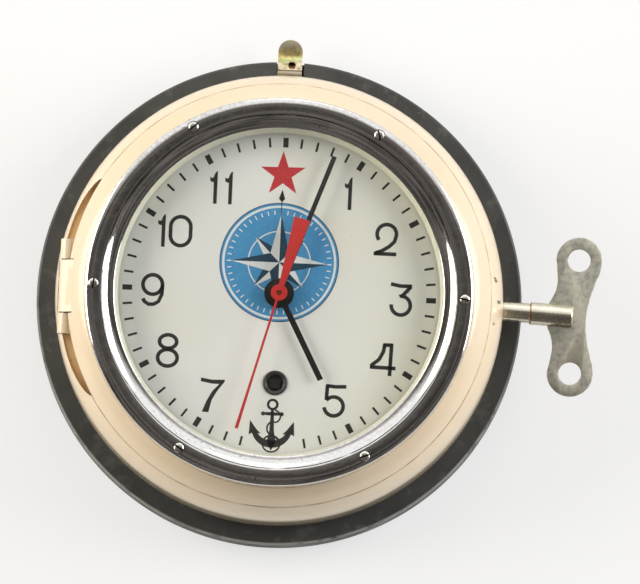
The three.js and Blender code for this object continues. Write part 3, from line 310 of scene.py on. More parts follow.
def passivated_steel():
    # Zinc-plated strip, yellow passivated: an olive grey that turns yellow and green in soft bands at
    # the bend, with a painted pale sheen on the tilted part, brown round the hole, and painted shade
    # in a dark line at the crease where the strip comes down.
    made, shader, place = surface("zinc_yellow_passivated", "#A59C82", 0.36, 1.0)
    z = axes(place)[2]
    warped = maths("MULTIPLY_ADD", patches(place, 6, 0.2, 0.8, 2), 3 * MM, z)
    tinted(
        shader,
        (band(warped, 97.2, 1.0, 1.6), "#CFBC7A"),
        (band(warped, 95.4, 0.5, 1.2), "#B5C084"),
        # Painted sheen: pale beige on the tilted part, round the hole
        (band(warped, 92.6, 1.8, 1.6), "#E8DCBC"),
        (band(z, 87.6, 1.6, 0.5), "#A89C86"),
        # Painted shade: a dark line at the crease
        (band(z, 89.3, 0.14, 0.25), "#54493A"),
        (patches(place, 1.6, 0.5, 0.75, 5), "#8F846A"),
        (near(place, 0.8, 91.6, 1.75, 0.6), "#785A3C"))
    grain(shader, patches(place, 0.5, 0.3, 0.7, 3), 0.005)
    return made


def dial_paint():
    # Stoved matt paint on a sheet dial: a warm white, a little yellower towards the right, slightly
    # greener or yellower over large areas as it has aged, with a few dark specks.
    made, shader, place = surface("dial_paint_warm_white", "#F3F4F0", 0.5)
    tinted(
        shader,
        (fade(axes(place)[0], 0, 60), "#F1F1E3"),
        (near(place, 24.7, -0.5, 0.5, 0.9), "#A9AAA0"),
        (patches(place, 45, 0.4, 0.7), "#ECEFE8"),
        (patches(place, 60, 0.5, 0.75), "#F3F1E1"),
        (patches(place, 1.6, 0.76, 0.79, 2), "#7C7A6E"))
    grain(shader, patches(place, 0.4, 0.3, 0.7, 2), 0.004)
    return made


def ink(name, colour, thin, roughness=0.45):
    """Screen-printed ink: a flat film, a little thinner in small patches."""
    made, shader, place = surface(name, colour, roughness)
    tinted(shader, (patches(place, 1.2, 0.5, 0.75, 3), thin))
    grain(shader, patches(place, 0.3, 0.3, 0.7, 2), 0.003)
    return made


def glass_float():
    # Float glass: seen as a faint mirror that grows towards grazing, the same from both sides, so
    # the shader is a mirror whose cover is 4% face on and rises with the fifth power of the
    # slant, with a trace of smears.
    made, shader, place = surface("glass_float_clear", "#EEF3F1", 0.02, 1.0)
    slant = node(place.id_data, "ShaderNodeLayerWeight", {0: 0.5}).outputs["Facing"]
    smears = ramp(patches(place, 16, 0.45, 0.8, 3), start=0.035, end=0.05)
    feed(shader, "Alpha", maths("MULTIPLY_ADD", maths("POWER", slant, 5.0), 0.95, smears))
    return made


ENAMEL = enamel_cream()
MOULDING = moulding_black()
CHROME = chrome_plate()
# Nickel plate on turned steel: a warm champagne grey, worn in soft blotches.
NICKEL = blotched(
    "nickel_plated_turned", "#DAD5C4", "#CFC8B6", 0.26, 5.0, 0.35, 0.001, (step_line, "#9C6B3C"))
# Stamped mild steel: duller and greyer, faintly tarnished by handling.
STAMPED = blotched(
    "steel_stamped_mottled", "#C6C4B6", "#A2A399", 0.5, 1.7, 0.5, 0.003, (warm_tarnish, "#CCC8B4"))
# Turned steel of screws, arbors and the cam: plain grey with fine lines.
TURNED_STEEL = blotched("steel_turned", "#AEACA4", "#8F8C84", 0.28, 2.5)
# Bright nickel plate on the bezel's screws: polished heads with a few dull spots, and painted shade in the
# slots.
SCREW_PLATE = blotched(
    "nickel_plated_bright", "#E2E0D8", "#C8C5BC", 0.24, 1.5, 0.3, 0.002, (slot_shade, "#3B3732"))
# Turned and lacquered brass of the movement.
BRASS = blotched("brass_turned_lacquered", "#C9A65A", "#B08A44", 0.26, 9.0)
PASSIVATED = passivated_steel()
DIAL_PAINT = dial_paint()
BLACK_INK = ink("ink_black", "#1E1E1B", "#35342F")
RED_INK = ink("ink_red", "#C9343A", "#D34A48")
BLUE_INK = ink("ink_blue", "#4A98CC", "#5AA4D4")
NAVY_INK = ink("ink_navy", "#1D3E55", "#2A5068")
WHITE_INK = ink("ink_white", "#EAF1F0", "#DDE7E8")
# Stoved hand paints, smoother and glossier than the inks.
BLACK_PAINT = ink("hand_paint_black", "#1B1B19", "#2B2A27", 0.3)
RED_PAINT = ink("hand_paint_red", "#CB3430", "#BE2F2C", 0.34)
RING_PAINT = ink("ring_paint_pale", "#FBF9E4", "#F6F3DA", 0.4)
# Blackened bush: a satin black that catches a grey light on its rim.
BLACKENED = ink("bush_blackened", "#242422", "#34332F", 0.36)
RUBBER = ink("rubber_moulded_black", "#26262A", "#303034", 0.8)
GLASS = glass_float()


# ---- making meshes


def tree_group(name, **inputs):
    """A Geometry Nodes tree with a geometry input and output and the named further inputs."""
    tree = bpy.data.node_groups.new(name, "GeometryNodeTree")
    tree.interface.new_socket("Geometry", in_out="INPUT", socket_type="NodeSocketGeometry")
    for label, kind in inputs.items():
        tree.interface.new_socket(label, in_out="INPUT", socket_type="NodeSocket" + kind)
    tree.interface.new_socket("Geometry", in_out="OUTPUT", socket_type="NodeSocketGeometry")
    return tree, node(tree, "NodeGroupInput").outputs


def close_tree(tree, made, finish):
    """Ends a tree: real geometry, smooth faces, one material."""
    real = result(tree, "GeometryNodeRealizeInstances", {0: made})
    smooth = result(tree, "GeometryNodeSetShadeSmooth", {0: real})
    painted = result(tree, "GeometryNodeSetMaterial", {0: smooth, "Material": finish})
    node(tree, "NodeGroupOutput", {0: painted})
    return tree


def turned_tree():
    """Turns the input's points, a closed outline in the plane of X and Y, about the Y axis."""
    tree, given = tree_group("turned piece", Steps="Int", Finish="Material")
    count = result(tree, "GeometryNodeAttributeDomainSize", {0: given["Geometry"]})
    rows = maths("ADD", count, 1.0)
    columns = maths("ADD", given["Steps"], 1.0)
    grid = result(tree, "GeometryNodeMeshGrid", {2: columns, 3: rows})
    index = result(tree, "GeometryNodeInputIndex")
    column = maths("FLOOR", maths("DIVIDE", index, rows))
    point = maths("MODULO", maths("MODULO", index, rows), count)
    place = result(tree, "GeometryNodeInputPosition")
    outline = result(
        tree, "GeometryNodeSampleIndex", {0: given["Geometry"], "Value": place, "Index": point},
        data_type="FLOAT_VECTOR")
    angle = maths("DIVIDE", maths("MULTIPLY", column, tau), given["Steps"])
    spot = result(tree, "ShaderNodeVectorRotate", {0: outline, "Angle": angle}, rotation_type="Y_AXIS")
    shaped = result(tree, "GeometryNodeSetPosition", {0: grid, "Position": spot})
    closed = result(tree, "GeometryNodeMergeByDistance", {0: shaped, "Distance": 1e-6})
    return close_tree(tree, closed, given["Finish"])


def with_tree(piece, tree, **values):
    """Shapes a piece by a tree, whose inputs are set by name."""
    modifier = piece.modifiers.new(tree.name, "NODES")
    modifier.node_group = tree
    for socket in tree.interface.items_tree:
        if socket.in_out == "INPUT" and socket.name in values:
            modifier[socket.identifier] = values[socket.name]
    settle(piece)


def settle(piece):
    """Turns what a piece's modifiers make into its own plain mesh."""
    graph = bpy.context.evaluated_depsgraph_get()
    made = bpy.data.meshes.new_from_object(piece.evaluated_get(graph))
    piece.modifiers.clear()
    piece.data = made
    return piece


def placed(data):
    """A new object in the scene, named as its data."""
    made = bpy.data.objects.new(data.name, data)
    bpy.context.scene.collection.objects.link(made)
    return made


def new_piece(points, edges=(), faces=(), finish=None):
    """An object at the origin from points in mm."""
    mesh = bpy.data.meshes.new("piece")
    mesh.from_pydata([Vector(p) * MM for p in points], edges, faces)
    if finish:
        mesh.materials.append(finish)
    return placed(mesh)


def prism(low, high, finish):
    """A piece between two outlines with the same number of points."""
    count = len(low)
    sides = [(i, (i + 1) % count, count + (i + 1) % count, count + i) for i in range(count)]
    faces = [tuple(range(count)), tuple(range(count, 2 * count))] + sides
    return tidy(new_piece(low + high, faces=faces, finish=finish))


def on_circle(radius, degrees, z=0.0):
    """A point on a circle about x = 0 and z, anticlockwise from the right."""
    return radius * cos(radians(degrees)), z + radius * sin(radians(degrees))


def on_curve(start, bend, end, t):
    """A point on a quadratic curve, from 0 at its start to 1 at its end."""
    return tuple(start * (1 - t) ** 2 + bend * (2 * t * (1 - t)) + end * t * t)


CREASE = 28


def tidy(piece, crease=CREASE):
    """Faces outwards and smooth, with edges sharper than the crease angle kept sharp."""
    work = bmesh.new()
    work.from_mesh(piece.data)
    bmesh.ops.remove_doubles(work, verts=work.verts, dist=1e-7)
    bmesh.ops.recalc_face_normals(work, faces=work.faces)
    work.to_mesh(piece.data)
    work.free()
    piece.data.shade_smooth()
    piece.data.set_sharp_from_angle(angle=radians(crease))
    return piece


def eased(outline, ease, steps=3):
    """The outline with each real corner cut back by up to ease mm and rounded."""
    made = []
    for before, corner, after in zip(outline[-1:] + outline[:-1], outline, outline[1:] + outline[:1]):
        before, corner, after = Vector(before), Vector(corner), Vector(after)
        back, on = before - corner, after - corner
        if back.angle(-on, 0.0) < radians(25) or abs(corner[0]) < 1e-6:
            made.append(tuple(corner))
            continue
        start = corner + back.normalized() * min(ease, back.length * 0.45)
        end = corner + on.normalized() * min(ease, on.length * 0.45)
        made += [on_curve(start, corner, end, k / steps) for k in range(steps + 1)]
    return made


ALONG_X = Matrix.Rotation(pi / 2, 4, "Z")
ALONG_Z = Matrix.Rotation(-pi / 2, 4, "X")
TURNED = turned_tree()


def at(x, depth, z):
    """A move to a place in mm, its depth counted from the wall."""
    return Matrix.Translation((x * MM, -depth * MM, z * MM))


def turned(outline, finish, steps=256, ease=0.0, place=None):
    """A turned piece from its outline of radius and depth in mm."""
    profile = eased(outline, ease) if ease else outline
    piece = new_piece([(r, -d, 0.0) for r, d in profile])
    with_tree(piece, TURNED, Steps=steps, Finish=finish)
    if place:
        piece.data.transform(place)
    return tidy(piece)


def rod(radius, start, end, finish, place=None, steps=64, ease=0.0):
    """A plain round bar between two depths: a cutter, or something joined to a piece."""
    outline = [(0.0, start), (radius, start), (radius, end), (0.0, end)]
    return turned(outline, finish, steps, ease, place)


def plate(outline, low, high, finish, place=None, bevel=0.0):
    """A flat piece from its outline of x and z in mm, between two depths, with rounded edges."""
    piece = prism([(x, -low, z) for x, z in outline], [(x, -high, z) for x, z in outline], finish)
    if bevel:
        rounded(piece, bevel)
    if place:
        piece.data.transform(place)
    return tidy(piece)


def rounded(piece, width, segments=3, angle=35):
    """Rounds a piece's sharp edges by a width in mm."""
    modifier = piece.modifiers.new("edges", "BEVEL")
    modifier.width = width * MM
    modifier.segments = segments
    modifier.limit_method = "ANGLE"
    modifier.angle_limit = radians(angle)
    return settle(piece)


def cut(piece, *cutters, operation="DIFFERENCE"):
    """Takes each cutter from the piece, or joins it, and removes the cutter."""
    for cutter in cutters:
        modifier = piece.modifiers.new("cut", "BOOLEAN")
        modifier.operation = operation
        modifier.solver = "EXACT"
        modifier.object = cutter
        settle(piece)
        bpy.data.objects.remove(cutter)
    return tidy(piece)


def join(piece, *others):
    return cut(piece, *others, operation="UNION")


def gather(*parts):
    """One object from parts that only touch."""
    work = bmesh.new()
    materials = []
    for part in parts:
        offset = len(work.faces)
        work.from_mesh(part.data)
        work.faces.ensure_lookup_table()
        for face in work.faces[offset:]:
            paint = part.data.materials[face.material_index]
            if paint not in materials:
                materials.append(paint)
            face.material_index = materials.index(paint)
    mesh = bpy.data.meshes.new("piece")
    work.to_mesh(mesh)
    work.free()
    for paint in materials:
        mesh.materials.append(paint)
    for part in parts:
        bpy.data.objects.remove(part)
    mesh.set_sharp_from_angle(angle=radians(CREASE))
    return placed(mesh)


def fit(piece, name, body, slot, *nodes):
    """Names a piece, gives it its body and hides the nodes that it stands for; the slot is not used."""
    piece.name = piece.data.name = name
    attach(piece, body)
    if nodes:
        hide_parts(*nodes)


# ---- the case

DOME_POINTS = 20
POST_CIRCLE = 53
TAB_SCREWS = (79.6, 83.6)


def dome_outline(start, end):
    """Points of the dome between two radii."""
    return [(r, dome(r)) for r in (start + (end - start) * k / DOME_POINTS for k in range(DOME_POINTS + 1))]


def make_base():
    base = turned([
        (0, 0), (91.5, 0), (FLANGE_RADIUS, 1), (FLANGE_RADIUS, 17.4), (91.9, FLANGE_DEPTH),
        (75.7, FLANGE_DEPTH), (75.7, 21), (72, 21), (72, 8), (0, 8)], MOULDING, 360, 0.4)
    for degrees in (30, 150, 270):
        x, z = on_circle(POST_CIRCLE, degrees)
        join(base, rod(4, 7.5, 19.9, MOULDING, at(x, 0, z)))
        cut(base, rod(1.5, 12, 21, MOULDING, at(x, 0, z), 32))
    notch = plate([(-4.95, 77.2), (5.45, 77.2), (5.45, 95), (-4.95, 95)], 9.7, 19, MOULDING)
    cut(base, notch, *[rod(1.1, 10.7, 20, MOULDING, at(0.25, 0, z), 32) for z in TAB_SCREWS])
    fit(base, "base_moulding", "case", "black_moulding", "base_plate")


POCKET_INNER = 80.2
POCKET_WIDTH = 3.2
POCKET_SPAN = 31.0
POCKET_EVEN = 17.0
POCKET_STEPS = 62
PIN_HOLE = 1.4
KNUCKLE = 2.65
KNUCKLE_ROOM = 3.15
LEAF_END = 9.9
LUG_START = 10.2
LOCK_AXIS = at(0, LOCK_DEPTH, 0) @ ALONG_X
ON_HINGE = at(HINGE_X, HINGE_DEPTH, 0) @ ALONG_Z
# Lays an outline of x and depth level, so that its plate's thickness runs up and down
LEAF_UP = Matrix(((1, 0, 0, 0), (0, 0, -1, 0), (0, -1, 0, 0), (0, 0, 0, 1)))


def along_hinge(radius, start, end, ease=0.0):
    """A round bar on the hinge line between two heights."""
    return rod(radius, start, end, ENAMEL, ON_HINGE, ease=ease)


def block(low, high, finish):
    """A box from its lowest and highest x, depth and z."""
    corners = [(low[0], low[2]), (high[0], low[2]), (high[0], high[2]), (low[0], high[2])]
    return plate(corners, low[1], high[1], finish)


def pocket_outline():
    """The relief beside the hinge: even in width, then closing in a round towards each end."""
    inner, outer = [], []
    for k in range(-POCKET_STEPS, POCKET_STEPS + 1):
        degrees = POCKET_SPAN * k / POCKET_STEPS
        past = max(0.0, abs(degrees) - POCKET_EVEN) / (POCKET_SPAN - POCKET_EVEN)
        reach = POCKET_INNER + 0.02 + POCKET_WIDTH * sqrt(max(0.0, 1 - past * past))
        inner.append(on_circle(POCKET_INNER, 180 + degrees))
        outer.append(on_circle(reach, 180 + degrees))
    return inner + outer[::-1]


def make_housing():
    wall = [(76, 20.9), (76, 18.1), (WALL_RADIUS, 18.1)] + dome_outline(WALL_RADIUS, SEAM_RADIUS)
    inner = [(72.9, SEAM_DEPTH), (72.9, SEAM_DEPTH - 3.4), (79.6, 44.084), (82.4, 36), (82.4, 20.9)]
    shell = turned(wall + inner, ENAMEL, 360, 0.35)
    cut(shell, plate(pocket_outline(), POCKET_FLOOR, 60, ENAMEL))
    swing = block((HINGE_X, HINGE_DEPTH, -10.3), (-76.6, 59.184, 10.3), ENAMEL)
    for side in (-1, 1):
        low, high = sorted((LUG_START * side, 17.9 * side))
        lug = block((-82.7, POCKET_FLOOR - 1, low), (-78.15, HINGE_DEPTH, high), ENAMEL)
        knuckle = along_hinge(KNUCKLE, *sorted((9.4 * side, 18 * side)), 0.25)
        join(shell, join(lug, knuckle))
    cut(shell, along_hinge(KNUCKLE_ROOM, -10.3, 10.3), swing)
    cut(shell, along_hinge(PIN_HOLE, -20, 20), rod(4.2, 77, 88, ENAMEL, LOCK_AXIS))
    fit(shell, "housing_enamelled", "case", "cream_enamel", "housing_shell")


SCREW_CIRCLE = 70.2
SCREW_TURNS = (12, 75, 140, 98, 33, 160)
# Where the six bezel screws stand, as x and z in mm, anticlockwise from 3 o'clock
SCREW_PLACES = [on_circle(SCREW_CIRCLE, 60 * k) for k in range(6)]


def make_cover():
    foot, groove, shelf, glass_bed, rebate = 54.584, 55.484, 65.564, 66.964, 70.364
    lip = [
        (73.9, BEZEL_SEAT), (72.3, BEZEL_SEAT), (72.3, rebate), (66.8, rebate), (66.8, glass_bed),
        (64.3, glass_bed), (64.3, shelf), (69.5, shelf), (69.5, foot), (73.3, foot), (73.3, groove),
        (75.9, groove), (75.9, foot)]
    rim = [(80.35, foot), (80.35, dome(80.35))] + dome_outline(80.1, 73.9)
    shell = turned(rim + lip, ENAMEL, 360, 0.25)
    leaf = plate([
        (-76.9, 52.1), (-76.9, 57.5), (-78.6, 56.95), (-82.45, 53.85), (HINGE_X, HINGE_DEPTH),
        (-80.0, 52.1)], -LEAF_END, LEAF_END, ENAMEL, LEAF_UP)
    join(shell, join(leaf, along_hinge(KNUCKLE, -LEAF_END, LEAF_END, 0.25)))
    cut(shell, along_hinge(KNUCKLE_ROOM, LEAF_END, 18.3), along_hinge(KNUCKLE_ROOM, -18.3, -LEAF_END))
    cut(shell, along_hinge(PIN_HOLE, -12, 12))
    cut(shell, *[rod(1.5, 64.06, 72, ENAMEL, at(x, 0, z), 24) for x, z in SCREW_PLACES])
    fit(shell, "cover_enamelled", "cover", "cream_enamel", "cover_shell")


# Radius and drop from the front of the bezel's turned profile, in mm: a shoulder that falls
# slowly and then turns down tightly, a flat face, a hollow that flattens into a rounded lip
BEZEL_PROFILE = [
    (73.6, 1.9), (73.57, 1.35), (73.48, 0.97), (73.33, 0.7), (73.1, 0.52), (72.8, 0.39), (72.4, 0.25),
    (72.0, 0.14), (71.6, 0.05), (71.1, 0), (70.0, 0), (68.8, 0.01), (67.8, 0.05), (67.25, 0.13),
    (66.9, 0.35), (66.5, 0.7), (66.0, 1.03), (65.4, 1.34), (64.8, 1.6), (64.2, 1.8), (63.7, 1.92),
    (63.2, 1.99), (62.8, 2.04), (62.5, 2.12), (62.3, 2.24), (62.2, 2.4)]


def make_bezel():
    foot, front = BEZEL_SEAT + SEAT, BEZEL_FRONT
    profile = [(radius, front - drop) for radius, drop in BEZEL_PROFILE]
    back = [(profile[-1][0], front - 2.5), (72.6, front - 2.5), (72.6, foot)]
    ring = turned([(BEZEL_RADIUS, foot)] + profile + back, CHROME, 360)
    for x, z in SCREW_PLACES:
        cut(ring, rod(2.2, front - 1.0, front + 1, CHROME, at(x, 0, z), 48))
        cut(ring, rod(1.5, front - 4, front, CHROME, at(x, 0, z), 32))
    fit(ring, "bezel_chromed", "cover", "chrome", "bezel")


def screws_tree():
    """Sets a copy of the screw on each of the input's points, turned by its own slot angle."""
    tree, given = tree_group("screws on a circle", Screw="Object", Finish="Material")
    screw = node(tree, "GeometryNodeObjectInfo", {"Object": given["Screw"]}).outputs["Geometry"]
    turn = result(tree, "GeometryNodeInputNamedAttribute", {"Name": "slot turn"}, data_type="FLOAT")
    spin = result(tree, "ShaderNodeCombineXYZ", {1: turn})
    sockets = {"Points": given["Geometry"], "Instance": screw, "Rotation": spin}
    return close_tree(tree, result(tree, "GeometryNodeInstanceOnPoints", sockets), given["Finish"])


def make_bezel_screws():
    low, high = BEZEL_FRONT - 0.9, BEZEL_FRONT + 0.35
    screw = turned([
        (0, low - 8), (0.9, low - 8), (1.2, low - 7.6), (1.2, low), (1.98, low), (1.98, high - 0.55),
        (1.8, high - 0.3), (1.5, high - 0.15), (1.0, high - 0.05), (0.5, high - 0.01), (0, high)],
        SCREW_PLATE, 64, 0.06)
    cut(screw, block((-3, high - 0.6, -0.33), (3, high + 1, 0.33), SCREW_PLATE))
    places = new_piece([(x, 0.0, z) for x, z in SCREW_PLACES])
    turns = places.data.attributes.new("slot turn", "FLOAT", "POINT")
    for item, degrees in zip(turns.data, SCREW_TURNS):
        item.value = radians(degrees)
    with_tree(places, screws_tree(), Screw=screw, Finish=SCREW_PLATE)
    bpy.data.objects.remove(screw)
    fit(tidy(places), "bezel_screws", "cover", "steel", *[f"bezel_screw_{k}" for k in range(1, 7)])


def make_glass():
    pane = turned(
        [(0, GLASS_BACK), (66.5, GLASS_BACK), (66.5, GLASS_FRONT), (0, GLASS_FRONT)], GLASS, ease=0.25)
    fit(pane, "glass_pane", "cover", "clear_glass", "glass")


def make_reflector():
    foot = DIAL_FRONT + 1.2
    ring = turned([
        (60.9, foot), (61.7, foot), (63.8, 67.064), (66.5, 67.064), (66.5, 67.564), (63, 67.564)],
        RING_PAINT, ease=0.12)
    fit(ring, "reflector_painted", "cover", "dial_paint", "reflector_ring")


# ---- dial and hands

DIAL_BACK = DIAL_FRONT - 1.0


def make_dial():
    disc = turned(
        [(4.1, DIAL_BACK), (63, DIAL_BACK), (63, DIAL_FRONT), (4.1, DIAL_FRONT)], DIAL_PAINT, ease=0.12)
    cut(disc, rod(WINDING_HOLE, DIAL_BACK - 1, DIAL_FRONT + 1, DIAL_PAINT, at(0, 0, -WINDING_DROP)))
    for degrees in (90, 210, 330):
        x, z = on_circle(POST_CIRCLE, degrees)
        join(disc, rod(2.2, DIAL_BACK - 12, DIAL_BACK + 0.2, DIAL_PAINT, at(x, 0, z), 32))
    fit(disc, "dial_painted", "case", "dial_paint", "dial")


# ---- the dial's printing: films of ink, drawn in mm from the dial's centre

FILM = 0.03
BLACK_STROKE = 1.42


def marks_tree():
    """Bars on a circle, numbered from one step past 12 o'clock, without those from the first to the
    last number given and every so many."""
    tree, given = tree_group(
        "ring of marks", Count="Int", Circle="Float", Length="Float", Width="Float", Film="Float",
        Depth="Float", First="Int", Last="Int", Every="Int", Finish="Material")
    number = maths("ADD", result(tree, "GeometryNodeInputIndex"), 1.0)
    angle = maths("DIVIDE", maths("MULTIPLY", number, tau), given["Count"])
    low = maths("MULTIPLY", given["Depth"], -1.0)
    top = result(tree, "ShaderNodeCombineXYZ", {1: low, 2: given["Circle"]})
    spot = result(tree, "ShaderNodeVectorRotate", {0: top, "Angle": angle}, rotation_type="Y_AXIS")
    points = result(tree, "GeometryNodePoints", {0: given["Count"], 1: spot})
    from_start = maths("GREATER_THAN", maths("SUBTRACT", number, given["First"]), -0.5)
    to_end = maths("GREATER_THAN", maths("SUBTRACT", given["Last"], number), -0.5)
    left_out = maths("LESS_THAN", maths("MODULO", number, given["Every"]), 0.5)
    gone = maths("MAXIMUM", maths("MULTIPLY", from_start, to_end), left_out)
    kept = maths("LESS_THAN", gone, 0.5)
    size = result(tree, "ShaderNodeCombineXYZ", {0: given["Width"], 1: given["Film"], 2: given["Length"]})
    bar = result(tree, "GeometryNodeMeshCube", {0: size})
    spin = result(tree, "ShaderNodeCombineXYZ", {1: angle})
    sockets = {"Points": points, "Selection": kept, "Instance": bar, "Rotation": spin}
    return close_tree(tree, result(tree, "GeometryNodeInstanceOnPoints", sockets), given["Finish"])


def stroke_tree():
    """Gives lines drawn in X and Y a width in their plane and the film's thickness."""
    tree, given = tree_group("stroke", Width="Float", Film="Float", Finish="Material")
    lines = result(tree, "GeometryNodeMeshToCurve", {0: given["Geometry"]})
    flat = result(tree, "GeometryNodeSetCurveNormal", {0: lines}, mode="Z_UP")
    pen = result(tree, "GeometryNodeCurvePrimitiveQuadrilateral", {0: given["Width"], 1: given["Film"]})
    drawn = result(tree, "GeometryNodeCurveToMesh", {0: flat, 1: pen, "Fill Caps": True})
    return close_tree(tree, drawn, given["Finish"])


MARKS = marks_tree()
STROKE = stroke_tree()
UPRIGHT = Matrix.Rotation(pi / 2, 4, "X")
BEND_STEPS = 28


def bend_line(x, z, across, along, start, end):
    """Points of an elliptic arc between two angles in degrees, anticlockwise from the right."""
    angles = [radians(start + (end - start) * k / BEND_STEPS) for k in range(BEND_STEPS + 1)]
    return [(x + across * cos(a), z + along * sin(a)) for a in angles]


def strokes(lines, width, layer, finish):
    """Lines of one width as an ink film on a layer of the dial."""
    points, edges = [], []
    for line in lines:
        start = len(points)
        points += [(x, z, 0.0) for x, z in line]
        edges += [(start + k, start + k + 1) for k in range(len(line) - 1)]
        if line[0] == line[-1]:
            points.pop()
            edges[-1] = (len(points) - 1, start)
    piece = new_piece(points, edges)
    with_tree(piece, STROKE, Width=width * MM, Film=FILM * MM, Finish=finish)
    piece.data.transform(at(0, DIAL_FRONT + (layer + 0.5) * FILM, 0) @ UPRIGHT)
    return tidy(piece)


def filled(outline, layer=0, finish=BLACK_INK):
    """A filled outline as an ink film on a layer of the dial."""
    low = DIAL_FRONT + layer * FILM
    return plate(outline, low, low + FILM, finish)


def moved(points, x, z):
    return [(x + p[0], z + p[1]) for p in points]


ONE = [(-.68, -6.2), (.68, -6.2), (.7, 6.2), (.25, 6.15), (-.4, 5.2), (-.85, 3.8), (-1.5, 3.5),
       (-2.1, 4.1), (-2.15, 3.3), (-2.05, 2.45), (-1.5, 2.1), (-.7, 1.95)]
SEVEN = [(-4.0, 6.3), (.3, 5.65), (5.0, 5.85), (5.0, 5.15), (2.1, 1.2), (.33, -2.05), (-.7, -6.7),
         (-3.2, -6.65), (-1.65, -2.55), (.33, 1.2), (2.95, 4.15), (.3, 4.15), (-4.1, 4.9)]
# Each numeral's centre and the lines that draw it: the 0 of 10, then 2, 3, 4, 5, 8 and 9
NUMERALS = [
    (-38.3, 22.1, [
        bend_line(0, 1.7, 3.8, 3.8, 0, 180) + bend_line(0, -1.7, 3.8, 3.8, 180, 360) + [(3.8, 1.7)]]),
    (39.6, 22.7, [
        bend_line(.07, 1.8, 3.65, 3.65, 219, -20) + [(3.1, -1.0), (1.1, -2.95), (-1.5, -4.6), (-4.0, -5.55)],
        [(-4.6, -5.75), (4.0, -5.75)]]),
    (46.0, -0.3, [
        [(-3.9, 6.0), (-.3, 5.35), (4.1, 5.4)], [(3.7, 5.2), (.15, 1.1)],
        [(-.5, 1.35)] + bend_line(.15, -2.05, 3.6, 3.6, 95, -185)]),
    (40.2, -23.1, [
        [(3.2, 6.2), (2.85, -6.15)], [(.4, 5.55), (3.4, 5.55)],
        [(.65, 6.1), (.2, 3.0), (-1.3, 0), (-4.4, -2.6)], [(-4.7, -3.0), (5.05, -3.2)]]),
    (22.6, -39.5, [
        [(-3.3, 5.55), (.3, 5.25), (4.4, 5.45)], [(-2.75, 5.6), (-2.95, .1)],
        bend_line(-.1, -2.2, 3.6, 3.6, 142, -173)]),
    (-41.1, -23.3, [bend_line(0, 3.35, 3.25, 2.55, -90, 270), bend_line(0, -2.8, 3.7, 3.15, 90, 450)]),
    (-47.9, -0.7, [
        bend_line(0, 2.1, 3.7, 3.7, 0, 360),
        [(3.75, 2.3), (3.6, -1.5), (2.4, -4.3), (.6, -5.35), (-1.3, -5.4), (-2.9, -4.4), (-3.5, -3.3)]])]
# The centres of the upright strokes that make 1, 10 and 11, and of the 7
ONES = [(25.1, 39.2), (-25.9, 39.3), (-20.2, 39.3), (-44.8, 22.1)]
SEVEN_PLACE = (-24.0, -39.3)


def make_numerals():
    lines = [moved(line, x, z) for x, z, drawn in NUMERALS for line in drawn]
    parts = [strokes(lines, BLACK_STROKE, 0, BLACK_INK)]
    parts += [filled(moved(ONE, x, z)) for x, z in ONES] + [filled(moved(SEVEN, *SEVEN_PLACE))]
    fit(gather(*parts), "dial_numerals", "case", "black_paint")


# No bar has so high a number, so every bar stays
ALL = 1000
MARK_CIRCLE = 57.5


def ring_of_marks(count, radius, length, width, layer, finish, skip=(0, 0), every=ALL):
    """Ink bars on a circle, without the numbers to skip and every so many of them."""
    piece = new_piece([(0, 0, 0)])
    depth = DIAL_FRONT + (layer + 0.5) * FILM
    with_tree(
        piece, MARKS, Count=count, Circle=radius * MM, Length=length * MM, Width=width * MM,
        Film=FILM * MM, Depth=depth * MM, First=skip[0], Last=skip[1], Every=every, Finish=finish)
    return tidy(piece)


def make_marks():
    minor = ring_of_marks(60, MARK_CIRCLE, 3.6, 0.85, 0, BLACK_INK, (29, 31), 5)
    major = ring_of_marks(12, MARK_CIRCLE, 3.7, 2.0, 0, BLACK_INK, (6, 6))
    fit(gather(minor, major), "dial_minute_marks", "case", "black_paint")


STAR = (-0.55, 45.4)
STAR_REACH = (8.9, 3.4)


def make_star():
    outline = []
    for k in range(10):
        angle = pi * k / 5 - radians(1)
        reach = STAR_REACH[k % 2]
        outline.append((reach * sin(angle), reach * cos(angle)))
    fit(filled(moved(outline, *STAR), 0, RED_INK), "dial_star", "case", "red_paint")


ROSE = (-0.5, 11.9)
ROSE_RADIUS = 22.6


def rose_ring(outer, inner, layer, finish):
    """A flat ring of ink about the rose."""
    low = DIAL_FRONT + layer * FILM
    outline = [(inner, low), (outer, low), (outer, low + FILM), (inner, low + FILM)]
    return turned(outline, finish, 160, 0.0, at(ROSE[0], 0, ROSE[1]))


def rose_point(turn, reach, waist, side):
    """One half of a compass point, on its left or right side."""
    a, b = radians(turn), radians(turn + 45 * side)
    return moved([(0, 0), (reach * sin(a), reach * cos(a)), (waist * sin(b), waist * cos(b))], *ROSE)


def make_roundel():
    ticks = ring_of_marks(48, ROSE_RADIUS - 3.6, 1.6, 0.42, 1, WHITE_INK)
    ticks.data.transform(at(ROSE[0], 0, ROSE[1]))
    parts = [
        rose_ring(ROSE_RADIUS, 0.0, 0, BLUE_INK),
        rose_ring(ROSE_RADIUS + 0.02, ROSE_RADIUS - 0.3, 1, NAVY_INK),
        rose_ring(ROSE_RADIUS - 1.0, ROSE_RADIUS - 1.9, 1, WHITE_INK),
        ticks,
        rose_ring(12.0, 11.55, 1, WHITE_INK)]
    for start, reach, waist, layer in ((45, 13.2, 4.6, 2), (0, 18.2, 4.9, 3)):
        for k in range(4):
            for side, paint in ((-1, WHITE_INK), (1, NAVY_INK)):
                parts.append(filled(rose_point(90 * k + start, reach, waist, side), layer, paint))
    needle = [(-0.16, 18), (0.16, 18), (0.16, 27.2), (-0.16, 27.2)]
    head = [(-1.15, 24.2), (0, 22.9), (1.15, 24.2), (0, 27.6)]
    parts += [filled(moved(outline, *ROSE), 2) for outline in (needle, head)]
    fit(gather(*parts), "dial_compass_rose", "case", "dial_paint")


ANCHOR = (-0.5, -49.9)


